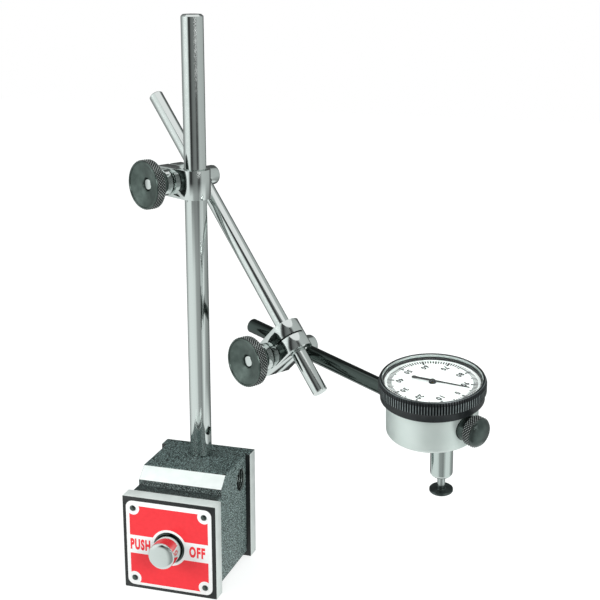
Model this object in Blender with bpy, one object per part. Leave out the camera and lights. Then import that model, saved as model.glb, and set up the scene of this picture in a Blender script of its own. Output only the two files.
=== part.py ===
# Dial indicator on a magnetic base with a post, two swivel clamps and two rods.
# Metres, +Z up. The origin is the centre of the front pole plate's foot; +X is to the right
# of the label and +Y runs from the label to the rear plate.
from math import atan2, cos, pi, radians, sin

import bmesh
import bpy
from mathutils import Matrix, Vector

# Base
PLATE_WIDTH = 0.0429
PLATE_THICKNESS = 0.0067
FRONT_PLATE_HEIGHT = 0.0429
REAR_PLATE_HEIGHT = 0.0501
BASE_DEPTH = 0.0502
BODY_OVERHANG = 0.0021
BODY_FOOT_GAP = 0.0022
BODY_STEP_RISE = 0.0022
BODY_STEP_SETBACK = 0.00596
BODY_CHAMFER_DEPTH = 0.0060
PLATE_EDGE_BEVEL = 0.0004
SIDE_HOLE_RADIUS = 0.0050
SIDE_HOLE_DEPTH = 0.0120
SIDE_HOLE_HEIGHT = 0.0403
SIDE_HOLE_BEFORE_POST = 0.0012

# Label, rivets and plate screws
LABEL_SIDE = 0.0394
LABEL_THICKNESS = 0.0005
LABEL_CORNER_RADIUS = 0.0030
LABEL_HOLE_RADIUS = 0.0071
RIVET_SPACING = 0.0328
RIVET_HEAD_RADIUS = 0.00135
RIVET_DOME_RADIUS_SHARE = 0.8
RIVET_HEAD_HEIGHT = 0.0006
RIVET_SHANK_RADIUS = 0.0008
RIVET_SHANK_LENGTH = 0.0030
SCREW_SPACING_ACROSS = 0.0316
SCREW_SPACING_UP = 0.0140
SCREW_HEAD_RADIUS = 0.0035
SCREW_HEAD_HEIGHT = 0.0030
SCREW_SHANK_RADIUS = 0.0019
SCREW_LENGTH = 0.0125

# Push rod and magnets
BUTTON_HEIGHT_SHARE = 0.5
BUTTON_RADIUS = 0.0060
BUTTON_STAND_OUT = 0.0105
BUTTON_LENGTH = 0.0160
BUTTON_CROWN = 0.0005
BUTTON_EDGE = 0.0008
BUSH_INNER_RADIUS = 0.0063
BUSH_OUTER_RADIUS = 0.0068
BUSH_STAND_OUT = 0.0009
PUSH_ROD_RADIUS = 0.0035
PUSH_TRAVEL = 0.0090
TUNNEL_HALF_WIDTH = 0.0120
TUNNEL_FLOOR_HEIGHT = 0.0070
TUNNEL_ROOF_HEIGHT = 0.0290
FIXED_MAGNET_HEIGHT = 0.0065
SLIDING_MAGNET_LENGTH = 0.0220
CLIP_RADIUS = 0.0052
CLIP_THICKNESS = 0.0009
REAR_BUTTON_LENGTH = 0.0098
STUD_RADIUS = 0.0022
STUD_LENGTH = 0.0060

# Post
POST_RADIUS = 0.0047625
POST_HEIGHT = 0.2442
POST_END_CHAMFER = 0.0010
POST_AXIS_BEFORE_REAR_FACE = 0.0118
POST_SPIGOT_RADIUS = 0.0037
POST_SPIGOT_LENGTH = 0.0095
TOMMY_HOLE_RADIUS = 0.0019
TOMMY_HOLE_HEIGHT = 0.0620
TOMMY_HOLE_TURN = radians(11)
SWING_TURN = radians(-30)

# Swivel clamps; both have the same size, the upper one is bored for the post
CLAMP_HALF_THICKNESS = 0.0065
CLAMP_HEIGHT = 0.0127
CLAMP_BOLT_OFFSET = 0.0120
CLAMP_END_BEYOND_BOLT = 0.0064
CLAMP_SLIT_WIDTH = 0.0008
CLAMP_SAW_WIDTH = 0.0007
CLAMP_SAW_START_SHARE = 0.55
CLAMP_SAW_END_SHARE = 0.35
CLAMP_ROD_OFFSET = 0.0123
EYE_HEAD_RADIUS = 0.0043
EYE_HEAD_END = 0.0203
EYE_HEAD_ROUNDING = 0.0014
EYE_SHANK_RADIUS = 0.0025
EYE_END_RECESS = 0.0010
WASHER_RADIUS = 0.0063
WASHER_THICKNESS = 0.0026
SPACER_RADIUS = 0.00585
SPACER_THICKNESS = 0.0032
KNOB_RADIUS = 0.01075
KNOB_RIM_WIDTH = 0.0049
KNOB_HUB_RADIUS = 0.0062
KNOB_HUB_LENGTH = 0.0038
KNOB_DISH_DEPTH = 0.0016
KNOB_DISH_FLOOR_RADIUS = 0.0033
KNOB_EDGE = 0.0005
KNOB_FLOOR_RADIUS_SHARE = 0.9

# Rods
ROD_RADIUS = 0.003175
ROD_END_CHAMFER = 0.0004
UPPER_CLAMP_HEIGHT = 0.17341
ARM_TILT = radians(46.03)
ARM_BEHIND_BOLT = 0.0454
ARM_BEYOND_BOLT = 0.1113
LOWER_CLAMP_ALONG_ARM = 0.08503
HOLDING_ROD_TILT = radians(5.76)
HOLDING_ROD_BEHIND_BOLT = 0.0312
INDICATOR_ALONG_ROD = 0.0780
INDICATOR_TURN = radians(7.5)
ROD_STUD_RADIUS = 0.0015

# Indicator case, stem and thumb nut, heights from the holding rod's axis
CASE_RADIUS = 0.0181
CASE_WALL = 0.0018
CASE_BOTTOM = 0.00906
CASE_TOP = 0.0108
CASE_ROUNDING = 0.0016
TUNNEL_TUBE_RADIUS = 0.0026
SPOT_FACE_RADIUS = 0.0054
SPOT_PAD_WALL = 0.0014
SPOT_PAD_RADIUS = 0.0062
PILLAR_RADIUS = 0.0019
PILLAR_FROM_WALL = 0.0012
PILLAR_COUNT = 3
STEM_RADIUS = 0.004575
STEM_LENGTH = 0.0330
STEM_END_ROUNDING = 0.0015
STEM_SPIGOT_RADIUS = 0.0033
STEM_BORE_RADIUS = 0.0029
STEM_HEAD_LENGTH = 0.0032
STEM_BUSH_LENGTH = 0.0035
NUT_COLLAR_RADIUS = 0.0052
NUT_COLLAR_LENGTH = 0.0038
NUT_RADIUS = 0.00615
NUT_GRIP_LENGTH = 0.0041
NUT_DOME_LENGTH = 0.0020
NUT_DOME_RADIUS_SHARE = 0.72

# Bezel, crystal and dial
BEZEL_SKIRT_WALL = 0.00198
BEZEL_GRIP_RISE = 0.00067
BEZEL_BOTTOM = 0.00615
BEZEL_GRIP_BOTTOM = 0.00944
BEZEL_GRIP_TOP = 0.01361
BEZEL_TOP = 0.01484
BEZEL_CREST_STEP = 0.00065
BEZEL_CREST_WIDTH = 0.0008
BEZEL_LEDGE_THICKNESS = 0.0005
BEZEL_LEDGE_WIDTH = 0.0022
DIAL_THICKNESS = 0.0005
DIAL_HOLE_RADIUS = 0.0012
CRYSTAL_THICKNESS = 0.0008
CRYSTAL_BELOW_CREST = 0.0002
CRYSTAL_RING_WALL = 0.0006

# Hand
HAND_LENGTH = 0.0150
HAND_TAIL = 0.0085
HAND_ROOT_HALF_WIDTH = 0.00075
HAND_TIP_HALF_WIDTH = 0.0002
HAND_TAIL_HALF_WIDTH = 0.0012
HAND_THICKNESS = 0.0003
HAND_ABOVE_DIAL = 0.0008
HAND_HUB_RADIUS = 0.0016
HAND_ROOT_SHARE = 0.5
HAND_TURN = radians(22.5)

# Spindle, contact and return spring
SPINDLE_LEFT_SHARE = 0.05525
SPINDLE_BACK_SHARE = 0.3978
SPINDLE_RADIUS = 0.0016
SPINDLE_TOP = 0.0064
SPINDLE_BELOW_STEM = 0.0046
PLUNGER_TRAVEL = 0.00508
CONTACT_RADIUS = 0.00485
CONTACT_THICKNESS = 0.0011
CONTACT_HUB_RADIUS = 0.0017
CONTACT_HUB_LENGTH = 0.0015
CONTACT_TIP_RADIUS = 0.0008
CONTACT_TIP_LENGTH = 0.0013
COLLAR_RADIUS = 0.0025
COLLAR_THICKNESS = 0.0010
SPRING_LENGTH = 0.0130
SPRING_WIRE_RADIUS = 0.00022
SPRING_TURNS = 6
SPRING_STEPS = 8

# Gear train
RACK_PITCH = 0.00127
RACK_LENGTH = 0.0090
RACK_PINION_TEETH = 12
RACK_PINION_WIDTH = 0.0020
RACK_LINE_FROM_SPINDLE = 0.0010
RACK_AXIS_HEIGHT = 0.0050
CROWN_TEETH = 24
CROWN_RADIUS_SHARE = 0.184
CROWN_TOOTH_LENGTH = 0.0007
CROWN_TOOTH_DEPTH = 0.0007
CROWN_DISC_THICKNESS = 0.0008
CROWN_TIP_GAP = 0.00016
CROWN_PINION_TEETH = 16
CROWN_PINION_WIDTH = 0.0011
CROWN_PINION_RISE = 0.0001
WHEEL_TEETH = 40
WHEEL_FROM_WALL = 0.0019
WHEEL_THICKNESS = 0.0005
CENTRE_PINION_TEETH = 10
TOOTH_WIDTH_SHARE = 0.36
TOOTH_TIP_SHARE = 0.5
TOOTH_RISE_SHARE = 0.2
TOOTH_DEPTH_SHARE = 0.32
ARBOR_RADIUS = 0.0005
ARBOR_LEFT_END = 0.0052
TRANSFER_ARBOR_RADIUS = 0.0006
MOVEMENT_PLATE_HEIGHT = 0.0089
MOVEMENT_PLATE_THICKNESS = 0.0007
MOVEMENT_SCREW_HEAD_RADIUS = 0.0015
MOVEMENT_SCREW_HEAD_HEIGHT = 0.0008
MOVEMENT_SCREW_RADIUS = 0.0007
MOVEMENT_SCREW_LENGTH = 0.0040
BRACKET_THICKNESS = 0.0012
BRACKET_HALF_WIDTH = 0.0015
BRACKET_BELOW_AXIS = 0.0016
BRACKET_LEFT_X = -0.0046
HAIRSPRING_TURNS = 3
HAIRSPRING_STEPS = 12
HAIRSPRING_INNER_RADIUS = 0.0011
HAIRSPRING_OUTER_RADIUS = 0.0042
HAIRSPRING_WIRE_RADIUS = 0.0001
HAIRSPRING_BELOW_DIAL = 0.0006

# Clearances and counts
SEAT_GAP = 0.0003
FINE_GAP = 0.00015
SKIN_GAP = 0.0001
OVERRUN = 0.0010
SHARP_ANGLE = radians(32)
SIDES_LARGE = 48
SIDES_MEDIUM = 24
SIDES_SMALL = 12

# Places that follow from the sizes above
FRONT_FACE_Y = -PLATE_THICKNESS / 2
PLATE_BACK_Y = PLATE_THICKNESS / 2
REAR_FACE_Y = FRONT_FACE_Y + BASE_DEPTH
REAR_PLATE_FRONT_Y = REAR_FACE_Y - PLATE_THICKNESS
POST_Y = REAR_FACE_Y - POST_AXIS_BEFORE_REAR_FACE
BUTTON_Z = FRONT_PLATE_HEIGHT * BUTTON_HEIGHT_SHARE
BODY_HALF_WIDTH = PLATE_WIDTH / 2 - BODY_OVERHANG
CASE_BORE_RADIUS = CASE_RADIUS - CASE_WALL
SPOT_FACE_DISTANCE = CASE_BORE_RADIUS
PILLAR_CIRCLE = CASE_BORE_RADIUS - PILLAR_FROM_WALL - PILLAR_RADIUS
BEZEL_SKIRT_RADIUS = CASE_RADIUS + SEAT_GAP + BEZEL_SKIRT_WALL
BEZEL_RADIUS = BEZEL_SKIRT_RADIUS + BEZEL_GRIP_RISE
BEZEL_CREST_RADIUS = BEZEL_RADIUS - BEZEL_CREST_STEP
BEZEL_OPENING_RADIUS = BEZEL_CREST_RADIUS - BEZEL_CREST_WIDTH
BEZEL_LEDGE_RADIUS = BEZEL_OPENING_RADIUS - BEZEL_LEDGE_WIDTH
SPINDLE_OFFSET_X = -CASE_RADIUS * SPINDLE_LEFT_SHARE
SPINDLE_OFFSET_Y = CASE_RADIUS * SPINDLE_BACK_SHARE
RACK_PINION_RADIUS = RACK_PINION_TEETH * RACK_PITCH / (2 * pi)
CROWN_ARBOR_Y = SPINDLE_OFFSET_Y - RACK_LINE_FROM_SPINDLE - RACK_PINION_RADIUS
CROWN_RADIUS = CASE_BORE_RADIUS * CROWN_RADIUS_SHARE
CROWN_PINION_RADIUS = CROWN_RADIUS * CROWN_PINION_TEETH / CROWN_TEETH
WHEEL_MODULE = (CASE_BORE_RADIUS - WHEEL_FROM_WALL) / (WHEEL_TEETH + CENTRE_PINION_TEETH / 2)
WHEEL_RADIUS = WHEEL_MODULE * WHEEL_TEETH / 2
CENTRE_PINION_RADIUS = WHEEL_MODULE * CENTRE_PINION_TEETH / 2
TRANSFER_Y = CROWN_ARBOR_Y
TRANSFER_X = ((WHEEL_RADIUS + CENTRE_PINION_RADIUS) ** 2 - TRANSFER_Y ** 2) ** 0.5
CROWN_TIP_X = TRANSFER_X - CROWN_PINION_RADIUS - CROWN_TIP_GAP
CROWN_DISC_X = CROWN_TIP_X - CROWN_TOOTH_DEPTH - CROWN_DISC_THICKNESS
PINION_END_X = SPINDLE_OFFSET_X + RACK_PINION_WIDTH / 2
BRACKET_RIGHT_X = (PINION_END_X + CROWN_DISC_X - BRACKET_THICKNESS) / 2
LEDGE_BOTTOM = CASE_TOP + SEAT_GAP
DIAL_BOTTOM = LEDGE_BOTTOM + BEZEL_LEDGE_THICKNESS + SEAT_GAP
DIAL_TOP = DIAL_BOTTOM + DIAL_THICKNESS
CRYSTAL_TOP = BEZEL_TOP - CRYSTAL_BELOW_CREST
CRYSTAL_BOTTOM = CRYSTAL_TOP - CRYSTAL_THICKNESS
DISC_RADIUS = BEZEL_OPENING_RADIUS - SEAT_GAP
MOVEMENT_PLATE_TOP = MOVEMENT_PLATE_HEIGHT + MOVEMENT_PLATE_THICKNESS
CASE_FLOOR = -CASE_BOTTOM + CASE_WALL
SHAFT_AIR = SEAT_GAP

# The scene is emptied first
for leftover in list(bpy.data.objects):
    bpy.data.objects.remove(leftover, do_unlink=True)


# Finishes
def finish(name, colour, roughness, metallic, alpha=1.0):
    """A plain surface with one colour."""
    material = bpy.data.materials.new(name)
    material.use_nodes = True
    shader = material.node_tree.nodes["Principled BSDF"]
    shader.inputs["Base Color"].default_value = (*colour, 1.0)
    shader.inputs["Roughness"].default_value = roughness
    shader.inputs["Metallic"].default_value = metallic
    shader.inputs["Alpha"].default_value = alpha
    return material


def wrinkle_paint():
    return finish("wrinkle_paint", (0.018, 0.021, 0.021), 0.55, 0.0)


def machined_steel():
    return finish("machined_steel", (0.58, 0.58, 0.57), 0.28, 1.0)


def polished_chrome():
    return finish("polished_chrome", (0.80, 0.81, 0.80), 0.08, 1.0)


def satin_chrome():
    return finish("satin_chrome", (0.62, 0.66, 0.64), 0.25, 1.0)


def black_oxide():
    return finish("black_oxide", (0.035, 0.045, 0.045), 0.32, 0.8)


def black_enamel():
    return finish("black_enamel", (0.008, 0.009, 0.010), 0.18, 0.0)


def red_label():
    return finish("red_label", (0.80, 0.045, 0.05), 0.35, 0.0)


def white_dial():
    return finish("white_dial", (0.86, 0.87, 0.86), 0.4, 0.0)


def clear_crystal():
    return finish("clear_crystal", (0.9, 0.95, 0.95), 0.05, 0.0, 0.25)


def brass():
    return finish("brass", (0.72, 0.52, 0.22), 0.3, 1.0)


def magnet_alloy():
    return finish("magnet_alloy", (0.16, 0.16, 0.17), 0.5, 0.7)


PAINT = wrinkle_paint()
STEEL = machined_steel()
CHROME = polished_chrome()
SATIN = satin_chrome()
OXIDE = black_oxide()
ENAMEL = black_enamel()
RED = red_label()
WHITE = white_dial()
CLEAR = clear_crystal()
BRASS = brass()
MAGNET = magnet_alloy()


# Frames and placing
def frame(name, parent=None, location=(0, 0, 0), turn=None):
    """An empty that carries the pieces of one moving body."""
    empty = bpy.data.objects.new(name, None)
    bpy.context.scene.collection.objects.link(empty)
    empty.parent = parent
    empty.location = location
    if turn:
        empty.rotation_euler = turn
    return empty


ALONG_X = (0, pi / 2, 0)
ALONG_Y = (-pi / 2, 0, 0)
AGAINST_Y = (pi / 2, 0, 0)


def add(name, mesh, parent, material, location=(0, 0, 0), turn=(0, 0, 0)):
    """One piece on its frame, shaded smooth with its real edges sharp."""
    mesh.materials.append(material)
    mesh.shade_smooth()
    mesh.set_sharp_from_angle(angle=SHARP_ANGLE)
    piece = bpy.data.objects.new(name, mesh)
    bpy.context.scene.collection.objects.link(piece)
    piece.parent = parent
    piece.location = location
    piece.rotation_euler = turn
    return piece


def combine(target, mesh, what, operation, location=(0, 0, 0), turn=(0, 0, 0)):
    """Cuts a shape from a piece, or joins it on, placed in the piece's own axes."""
    helper = bpy.data.objects.new(target.name + "_" + what, mesh)
    bpy.context.scene.collection.objects.link(helper)
    helper.parent = target
    helper.location = location
    helper.rotation_euler = turn
    helper.hide_render = True
    helper.display_type = "WIRE"
    modifier = target.modifiers.new(what, "BOOLEAN")
    modifier.operation = operation
    modifier.solver = "EXACT"
    modifier.object = helper


def cut(target, mesh, what, location=(0, 0, 0), turn=(0, 0, 0)):
    combine(target, mesh, what, "DIFFERENCE", location, turn)


def join(target, mesh, what, location=(0, 0, 0), turn=(0, 0, 0)):
    combine(target, mesh, what, "UNION", location, turn)


def bevelled(piece, width):
    """Breaks the long edges of a piece."""
    modifier = piece.modifiers.new("edges", "BEVEL")
    modifier.width = width
    modifier.segments = 1
    modifier.limit_method = "ANGLE"
    modifier.angle_limit = radians(50)


# Shapes
def mesh_from(bm, name):
    bmesh.ops.recalc_face_normals(bm, faces=bm.faces)
    mesh = bpy.data.meshes.new(name)
    bm.to_mesh(mesh)
    bm.free()
    return mesh


def turned(name, outline, sides):
    """An outline of (radius, height) points turned about Z. It closes on itself, or on the axis."""
    bm = bmesh.new()
    rings = []
    for radius, height in outline:
        count = sides if radius > 0 else 1
        angles = [2 * pi * i / sides for i in range(count)]
        rings.append([bm.verts.new((radius * cos(a), radius * sin(a), height)) for a in angles])
    pairs = list(zip(rings, rings[1:]))
    if outline[0][0] > 0:
        pairs.append((rings[-1], rings[0]))
    for first, second in pairs:
        tip, rim = (first, second) if len(first) == 1 else (second, first)
        if len(tip) == 1 and tip[0].co.z == rim[0].co.z:
            bm.faces.new(rim)
            continue
        for i in range(sides):
            j = (i + 1) % sides
            corners = [first[i % len(first)], first[j % len(first)]]
            corners += [second[j % len(second)], second[i % len(second)]]
            bm.faces.new(list(dict.fromkeys(corners)))
    loose = [v for v in bm.verts if not v.link_faces]
    bmesh.ops.delete(bm, geom=loose, context="VERTS")
    return mesh_from(bm, name)


def disc(name, radius, low, high, sides):
    """A plain round bar between two heights."""
    return turned(name, [(0, low), (radius, low), (radius, high), (0, high)], sides)


def ring(name, inner, outer, low, high, sides):
    """A plain tube between two heights."""
    return turned(name, [(inner, low), (outer, low), (outer, high), (inner, high)], sides)


def bar(name, radius, low, high, chamfer, sides):
    """A round bar with chamfered ends."""
    small = radius - chamfer
    outline = [(0, low), (small, low), (radius, low + chamfer)]
    outline += [(radius, high - chamfer), (small, high), (0, high)]
    return turned(name, outline, sides)


def box(name, low, high):
    """A block between two opposite corners."""
    bm = bmesh.new()
    bmesh.ops.create_cube(bm, size=1)
    size = Vector(high) - Vector(low)
    centre = (Vector(high) + Vector(low)) / 2
    bmesh.ops.transform(bm, matrix=Matrix.Translation(centre) @ Matrix.Diagonal((*size, 1)), verts=bm.verts)
    return mesh_from(bm, name)


def prism(name, outline, low, high):
    """An outline of (x, y) points drawn up along Z."""
    bm = bmesh.new()
    base = bm.faces.new([bm.verts.new((x, y, low)) for x, y in outline])
    drawn = bmesh.ops.extrude_face_region(bm, geom=[base])
    risen = [v for v in drawn["geom"] if isinstance(v, bmesh.types.BMVert)]
    bmesh.ops.translate(bm, vec=(0, 0, high - low), verts=risen)
    return mesh_from(bm, name)


def arc(centre_x, centre_y, radius, start, end, steps):
    """Points on an arc, both ends included."""
    angles = [start + (end - start) * i / steps for i in range(steps + 1)]
    return [(centre_x + radius * cos(a), centre_y + radius * sin(a)) for a in angles]


def gear(name, teeth, pitch_radius, phase, low, high):
    """A spur gear with straight-sided teeth, one tooth centred on the phase angle."""
    pitch = 2 * pi * pitch_radius / teeth
    tip = pitch_radius + pitch * TOOTH_RISE_SHARE
    root = pitch_radius - pitch * TOOTH_DEPTH_SHARE
    half = TOOTH_WIDTH_SHARE * pi / teeth
    narrow = half * TOOTH_TIP_SHARE
    outline = []
    for i in range(teeth):
        centre = phase + 2 * pi * i / teeth
        outline.append((root * cos(centre - half), root * sin(centre - half)))
        outline.append((tip * cos(centre - narrow), tip * sin(centre - narrow)))
        outline.append((tip * cos(centre + narrow), tip * sin(centre + narrow)))
        outline.append((root * cos(centre + half), root * sin(centre + half)))
    return prism(name, outline, low, high)


def wire(name, points, radius, parent, material, location=(0, 0, 0)):
    """A round wire through points."""
    curve = bpy.data.curves.new(name, "CURVE")
    curve.dimensions = "3D"
    curve.bevel_depth = radius
    curve.bevel_resolution = 0
    curve.use_fill_caps = True
    spline = curve.splines.new("POLY")
    spline.points.add(len(points) - 1)
    for target, point in zip(spline.points, points):
        target.co = (*point, 1)
    curve.materials.append(material)
    piece = bpy.data.objects.new(name, curve)
    bpy.context.scene.collection.objects.link(piece)
    piece.parent = parent
    piece.location = location
    return piece


# Magnetic base
def corner_places(across, up):
    """Four places round the button, as (x, z)."""
    x = across / 2
    z = up / 2
    return [(-x, BUTTON_Z + z), (x, BUTTON_Z + z), (-x, BUTTON_Z - z), (x, BUTTON_Z - z)]


def plate(name, low_y, height):
    """A pole plate with its edges broken and the hole for the bush."""
    half = PLATE_WIDTH / 2
    piece = add(name, box(name, (-half, low_y, 0), (half, low_y + PLATE_THICKNESS, height)), None, STEEL)
    bevelled(piece, PLATE_EDGE_BEVEL)
    wide = BUSH_OUTER_RADIUS + SEAT_GAP
    hole = disc(name + "_bush_hole", wide, -OVERRUN, PLATE_THICKNESS + OVERRUN, SIDES_MEDIUM)
    cut(piece, hole, "bush_hole", (0, low_y, BUTTON_Z), ALONG_Y)
    return piece


def screw_hole(name):
    """The hollow of a countersunk screw, from its face inwards."""
    wide = SCREW_HEAD_RADIUS + SEAT_GAP
    narrow = SCREW_SHANK_RADIUS + SEAT_GAP
    deep = SCREW_LENGTH + SEAT_GAP
    outline = [(0, -OVERRUN), (wide, -OVERRUN), (wide, SCREW_HEAD_HEIGHT + SEAT_GAP)]
    outline += [(narrow, SCREW_HEAD_HEIGHT + SEAT_GAP), (narrow, deep), (0, deep)]
    return turned(name, outline, SIDES_SMALL)


def screw_shape(name):
    """A cheese head screw, its head at the start."""
    outline = [(0, SEAT_GAP), (SCREW_HEAD_RADIUS, SEAT_GAP), (SCREW_HEAD_RADIUS, SCREW_HEAD_HEIGHT)]
    outline += [(SCREW_SHANK_RADIUS, SCREW_HEAD_HEIGHT), (SCREW_SHANK_RADIUS, SCREW_LENGTH)]
    outline += [(0, SCREW_LENGTH)]
    return turned(name, outline, SIDES_SMALL)


def base_body():
    """The block between the plates: a step behind the front plate, a chamfer, then the top."""
    front = PLATE_BACK_Y + SEAT_GAP
    rear = REAR_PLATE_FRONT_Y - SEAT_GAP
    step_y = PLATE_BACK_Y + BODY_STEP_SETBACK
    outline = [(front, BODY_FOOT_GAP), (rear, BODY_FOOT_GAP), (rear, REAR_PLATE_HEIGHT)]
    outline += [(step_y + BODY_CHAMFER_DEPTH, REAR_PLATE_HEIGHT)]
    outline += [(step_y, FRONT_PLATE_HEIGHT + BODY_STEP_RISE), (step_y, FRONT_PLATE_HEIGHT)]
    outline += [(front, FRONT_PLATE_HEIGHT)]
    mesh = prism("base_body", outline, -BODY_HALF_WIDTH, BODY_HALF_WIDTH)
    mesh.transform(Matrix(((0, 0, 1, 0), (1, 0, 0, 0), (0, 1, 0, 0), (0, 0, 0, 1))))
    piece = add("base_body", mesh, None, PAINT)
    tunnel_low = (-TUNNEL_HALF_WIDTH, PLATE_BACK_Y - OVERRUN, TUNNEL_FLOOR_HEIGHT)
    tunnel_high = (TUNNEL_HALF_WIDTH, REAR_PLATE_FRONT_Y + OVERRUN, TUNNEL_ROOF_HEIGHT)
    cut(piece, box("magnet_tunnel", tunnel_low, tunnel_high), "magnet_tunnel")
    spigot_bottom = -POST_SPIGOT_LENGTH - SEAT_GAP
    spigot = disc("spigot_hole", POST_SPIGOT_RADIUS + SEAT_GAP, spigot_bottom, OVERRUN, SIDES_MEDIUM)
    cut(piece, spigot, "spigot_hole", (0, POST_Y, REAR_PLATE_HEIGHT))
    side = disc("side_hole", SIDE_HOLE_RADIUS, -SIDE_HOLE_DEPTH, OVERRUN, SIDES_MEDIUM)
    place = (BODY_HALF_WIDTH, POST_Y - SIDE_HOLE_BEFORE_POST, SIDE_HOLE_HEIGHT)
    cut(piece, side, "side_hole", place, ALONG_X)
    return piece


def label():
    """The printed plate, with its corners rounded and a hole round the button."""
    half = LABEL_SIDE / 2
    inset = half - LABEL_CORNER_RADIUS
    outline = []
    for quarter, (sx, sy) in enumerate(((1, 1), (-1, 1), (-1, -1), (1, -1))):
        start = quarter * pi / 2
        outline += arc(sx * inset, sy * inset, LABEL_CORNER_RADIUS, start, start + pi / 2, 4)
    mesh = prism("label_plate", outline, SKIN_GAP, SKIN_GAP + LABEL_THICKNESS)
    piece = add("label_plate", mesh, None, RED, (0, FRONT_FACE_Y, BUTTON_Z), AGAINST_Y)
    hole = disc("label_hole", LABEL_HOLE_RADIUS, -OVERRUN, LABEL_THICKNESS + OVERRUN, SIDES_MEDIUM)
    cut(piece, hole, "button_hole")
    rivet_half = RIVET_SPACING / 2
    for i, (sx, sy) in enumerate(((-1, 1), (1, 1), (-1, -1), (1, -1))):
        wide = RIVET_SHANK_RADIUS + FINE_GAP
        small = disc("rivet_hole", wide, -OVERRUN, LABEL_THICKNESS + OVERRUN, SIDES_SMALL)
        cut(piece, small, "rivet_hole_" + str(i + 1), (sx * rivet_half, sy * rivet_half, 0))


def rivets(front_plate):
    """Domed drive rivets through the label into the front plate."""
    under_head = SKIN_GAP + LABEL_THICKNESS + SKIN_GAP
    dome = RIVET_HEAD_HEIGHT / 2
    bottom = under_head - RIVET_SHANK_LENGTH
    outline = [(0, bottom), (RIVET_SHANK_RADIUS, bottom), (RIVET_SHANK_RADIUS, under_head)]
    shoulder = RIVET_HEAD_RADIUS * RIVET_DOME_RADIUS_SHARE
    outline += [(RIVET_HEAD_RADIUS, under_head), (shoulder, under_head + dome)]
    outline += [(0, under_head + RIVET_HEAD_HEIGHT)]
    for i, (x, z) in enumerate(corner_places(RIVET_SPACING, RIVET_SPACING)):
        name = "label_rivet_" + str(i + 1)
        add(name, turned(name, outline, SIDES_SMALL), None, STEEL, (x, FRONT_FACE_Y, z), AGAINST_Y)
        hole = disc(name + "_hole", RIVET_SHANK_RADIUS + FINE_GAP, -RIVET_SHANK_LENGTH, OVERRUN, SIDES_SMALL)
        cut(front_plate, hole, "rivet_hole_" + str(i + 1), (x, FRONT_FACE_Y, z), AGAINST_Y)


def plate_screws(front_plate, rear_plate, body):
    """Four screws through each plate into the body."""
    sides = (("front", front_plate, FRONT_FACE_Y, ALONG_Y), ("rear", rear_plate, REAR_FACE_Y, AGAINST_Y))
    for side, host, face_y, turn in sides:
        for i, (x, z) in enumerate(corner_places(SCREW_SPACING_ACROSS, SCREW_SPACING_UP)):
            name = side + "_screw_" + str(i + 1)
            place = (x, face_y, z)
            add(name, screw_shape(name), None, STEEL, place, turn)
            cut(host, screw_hole(name + "_plate_hole"), name, place, turn)
            cut(body, screw_hole(name + "_body_hole"), name, place, turn)


def bushes():
    """Bright bushes in both plates for the two buttons."""
    length = PLATE_THICKNESS - SEAT_GAP
    front = ring("front_bush", BUSH_INNER_RADIUS, BUSH_OUTER_RADIUS, -BUSH_STAND_OUT, length, SIDES_MEDIUM)
    add("front_bush", front, None, CHROME, (0, FRONT_FACE_Y, BUTTON_Z), ALONG_Y)
    rear = ring("rear_bush", BUSH_INNER_RADIUS, BUSH_OUTER_RADIUS, 0, length, SIDES_MEDIUM)
    add("rear_bush", rear, None, CHROME, (0, REAR_FACE_Y, BUTTON_Z), AGAINST_Y)


def magnets():
    """The fixed magnet lies on the tunnel floor, over the whole depth."""
    wide = TUNNEL_HALF_WIDTH - SEAT_GAP
    low = (-wide, PLATE_BACK_Y + SEAT_GAP, TUNNEL_FLOOR_HEIGHT + SEAT_GAP)
    high = (wide, REAR_PLATE_FRONT_Y - SEAT_GAP, TUNNEL_FLOOR_HEIGHT + SEAT_GAP + FIXED_MAGNET_HEIGHT)
    add("fixed_magnet", box("fixed_magnet", low, high), None, MAGNET)


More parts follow.
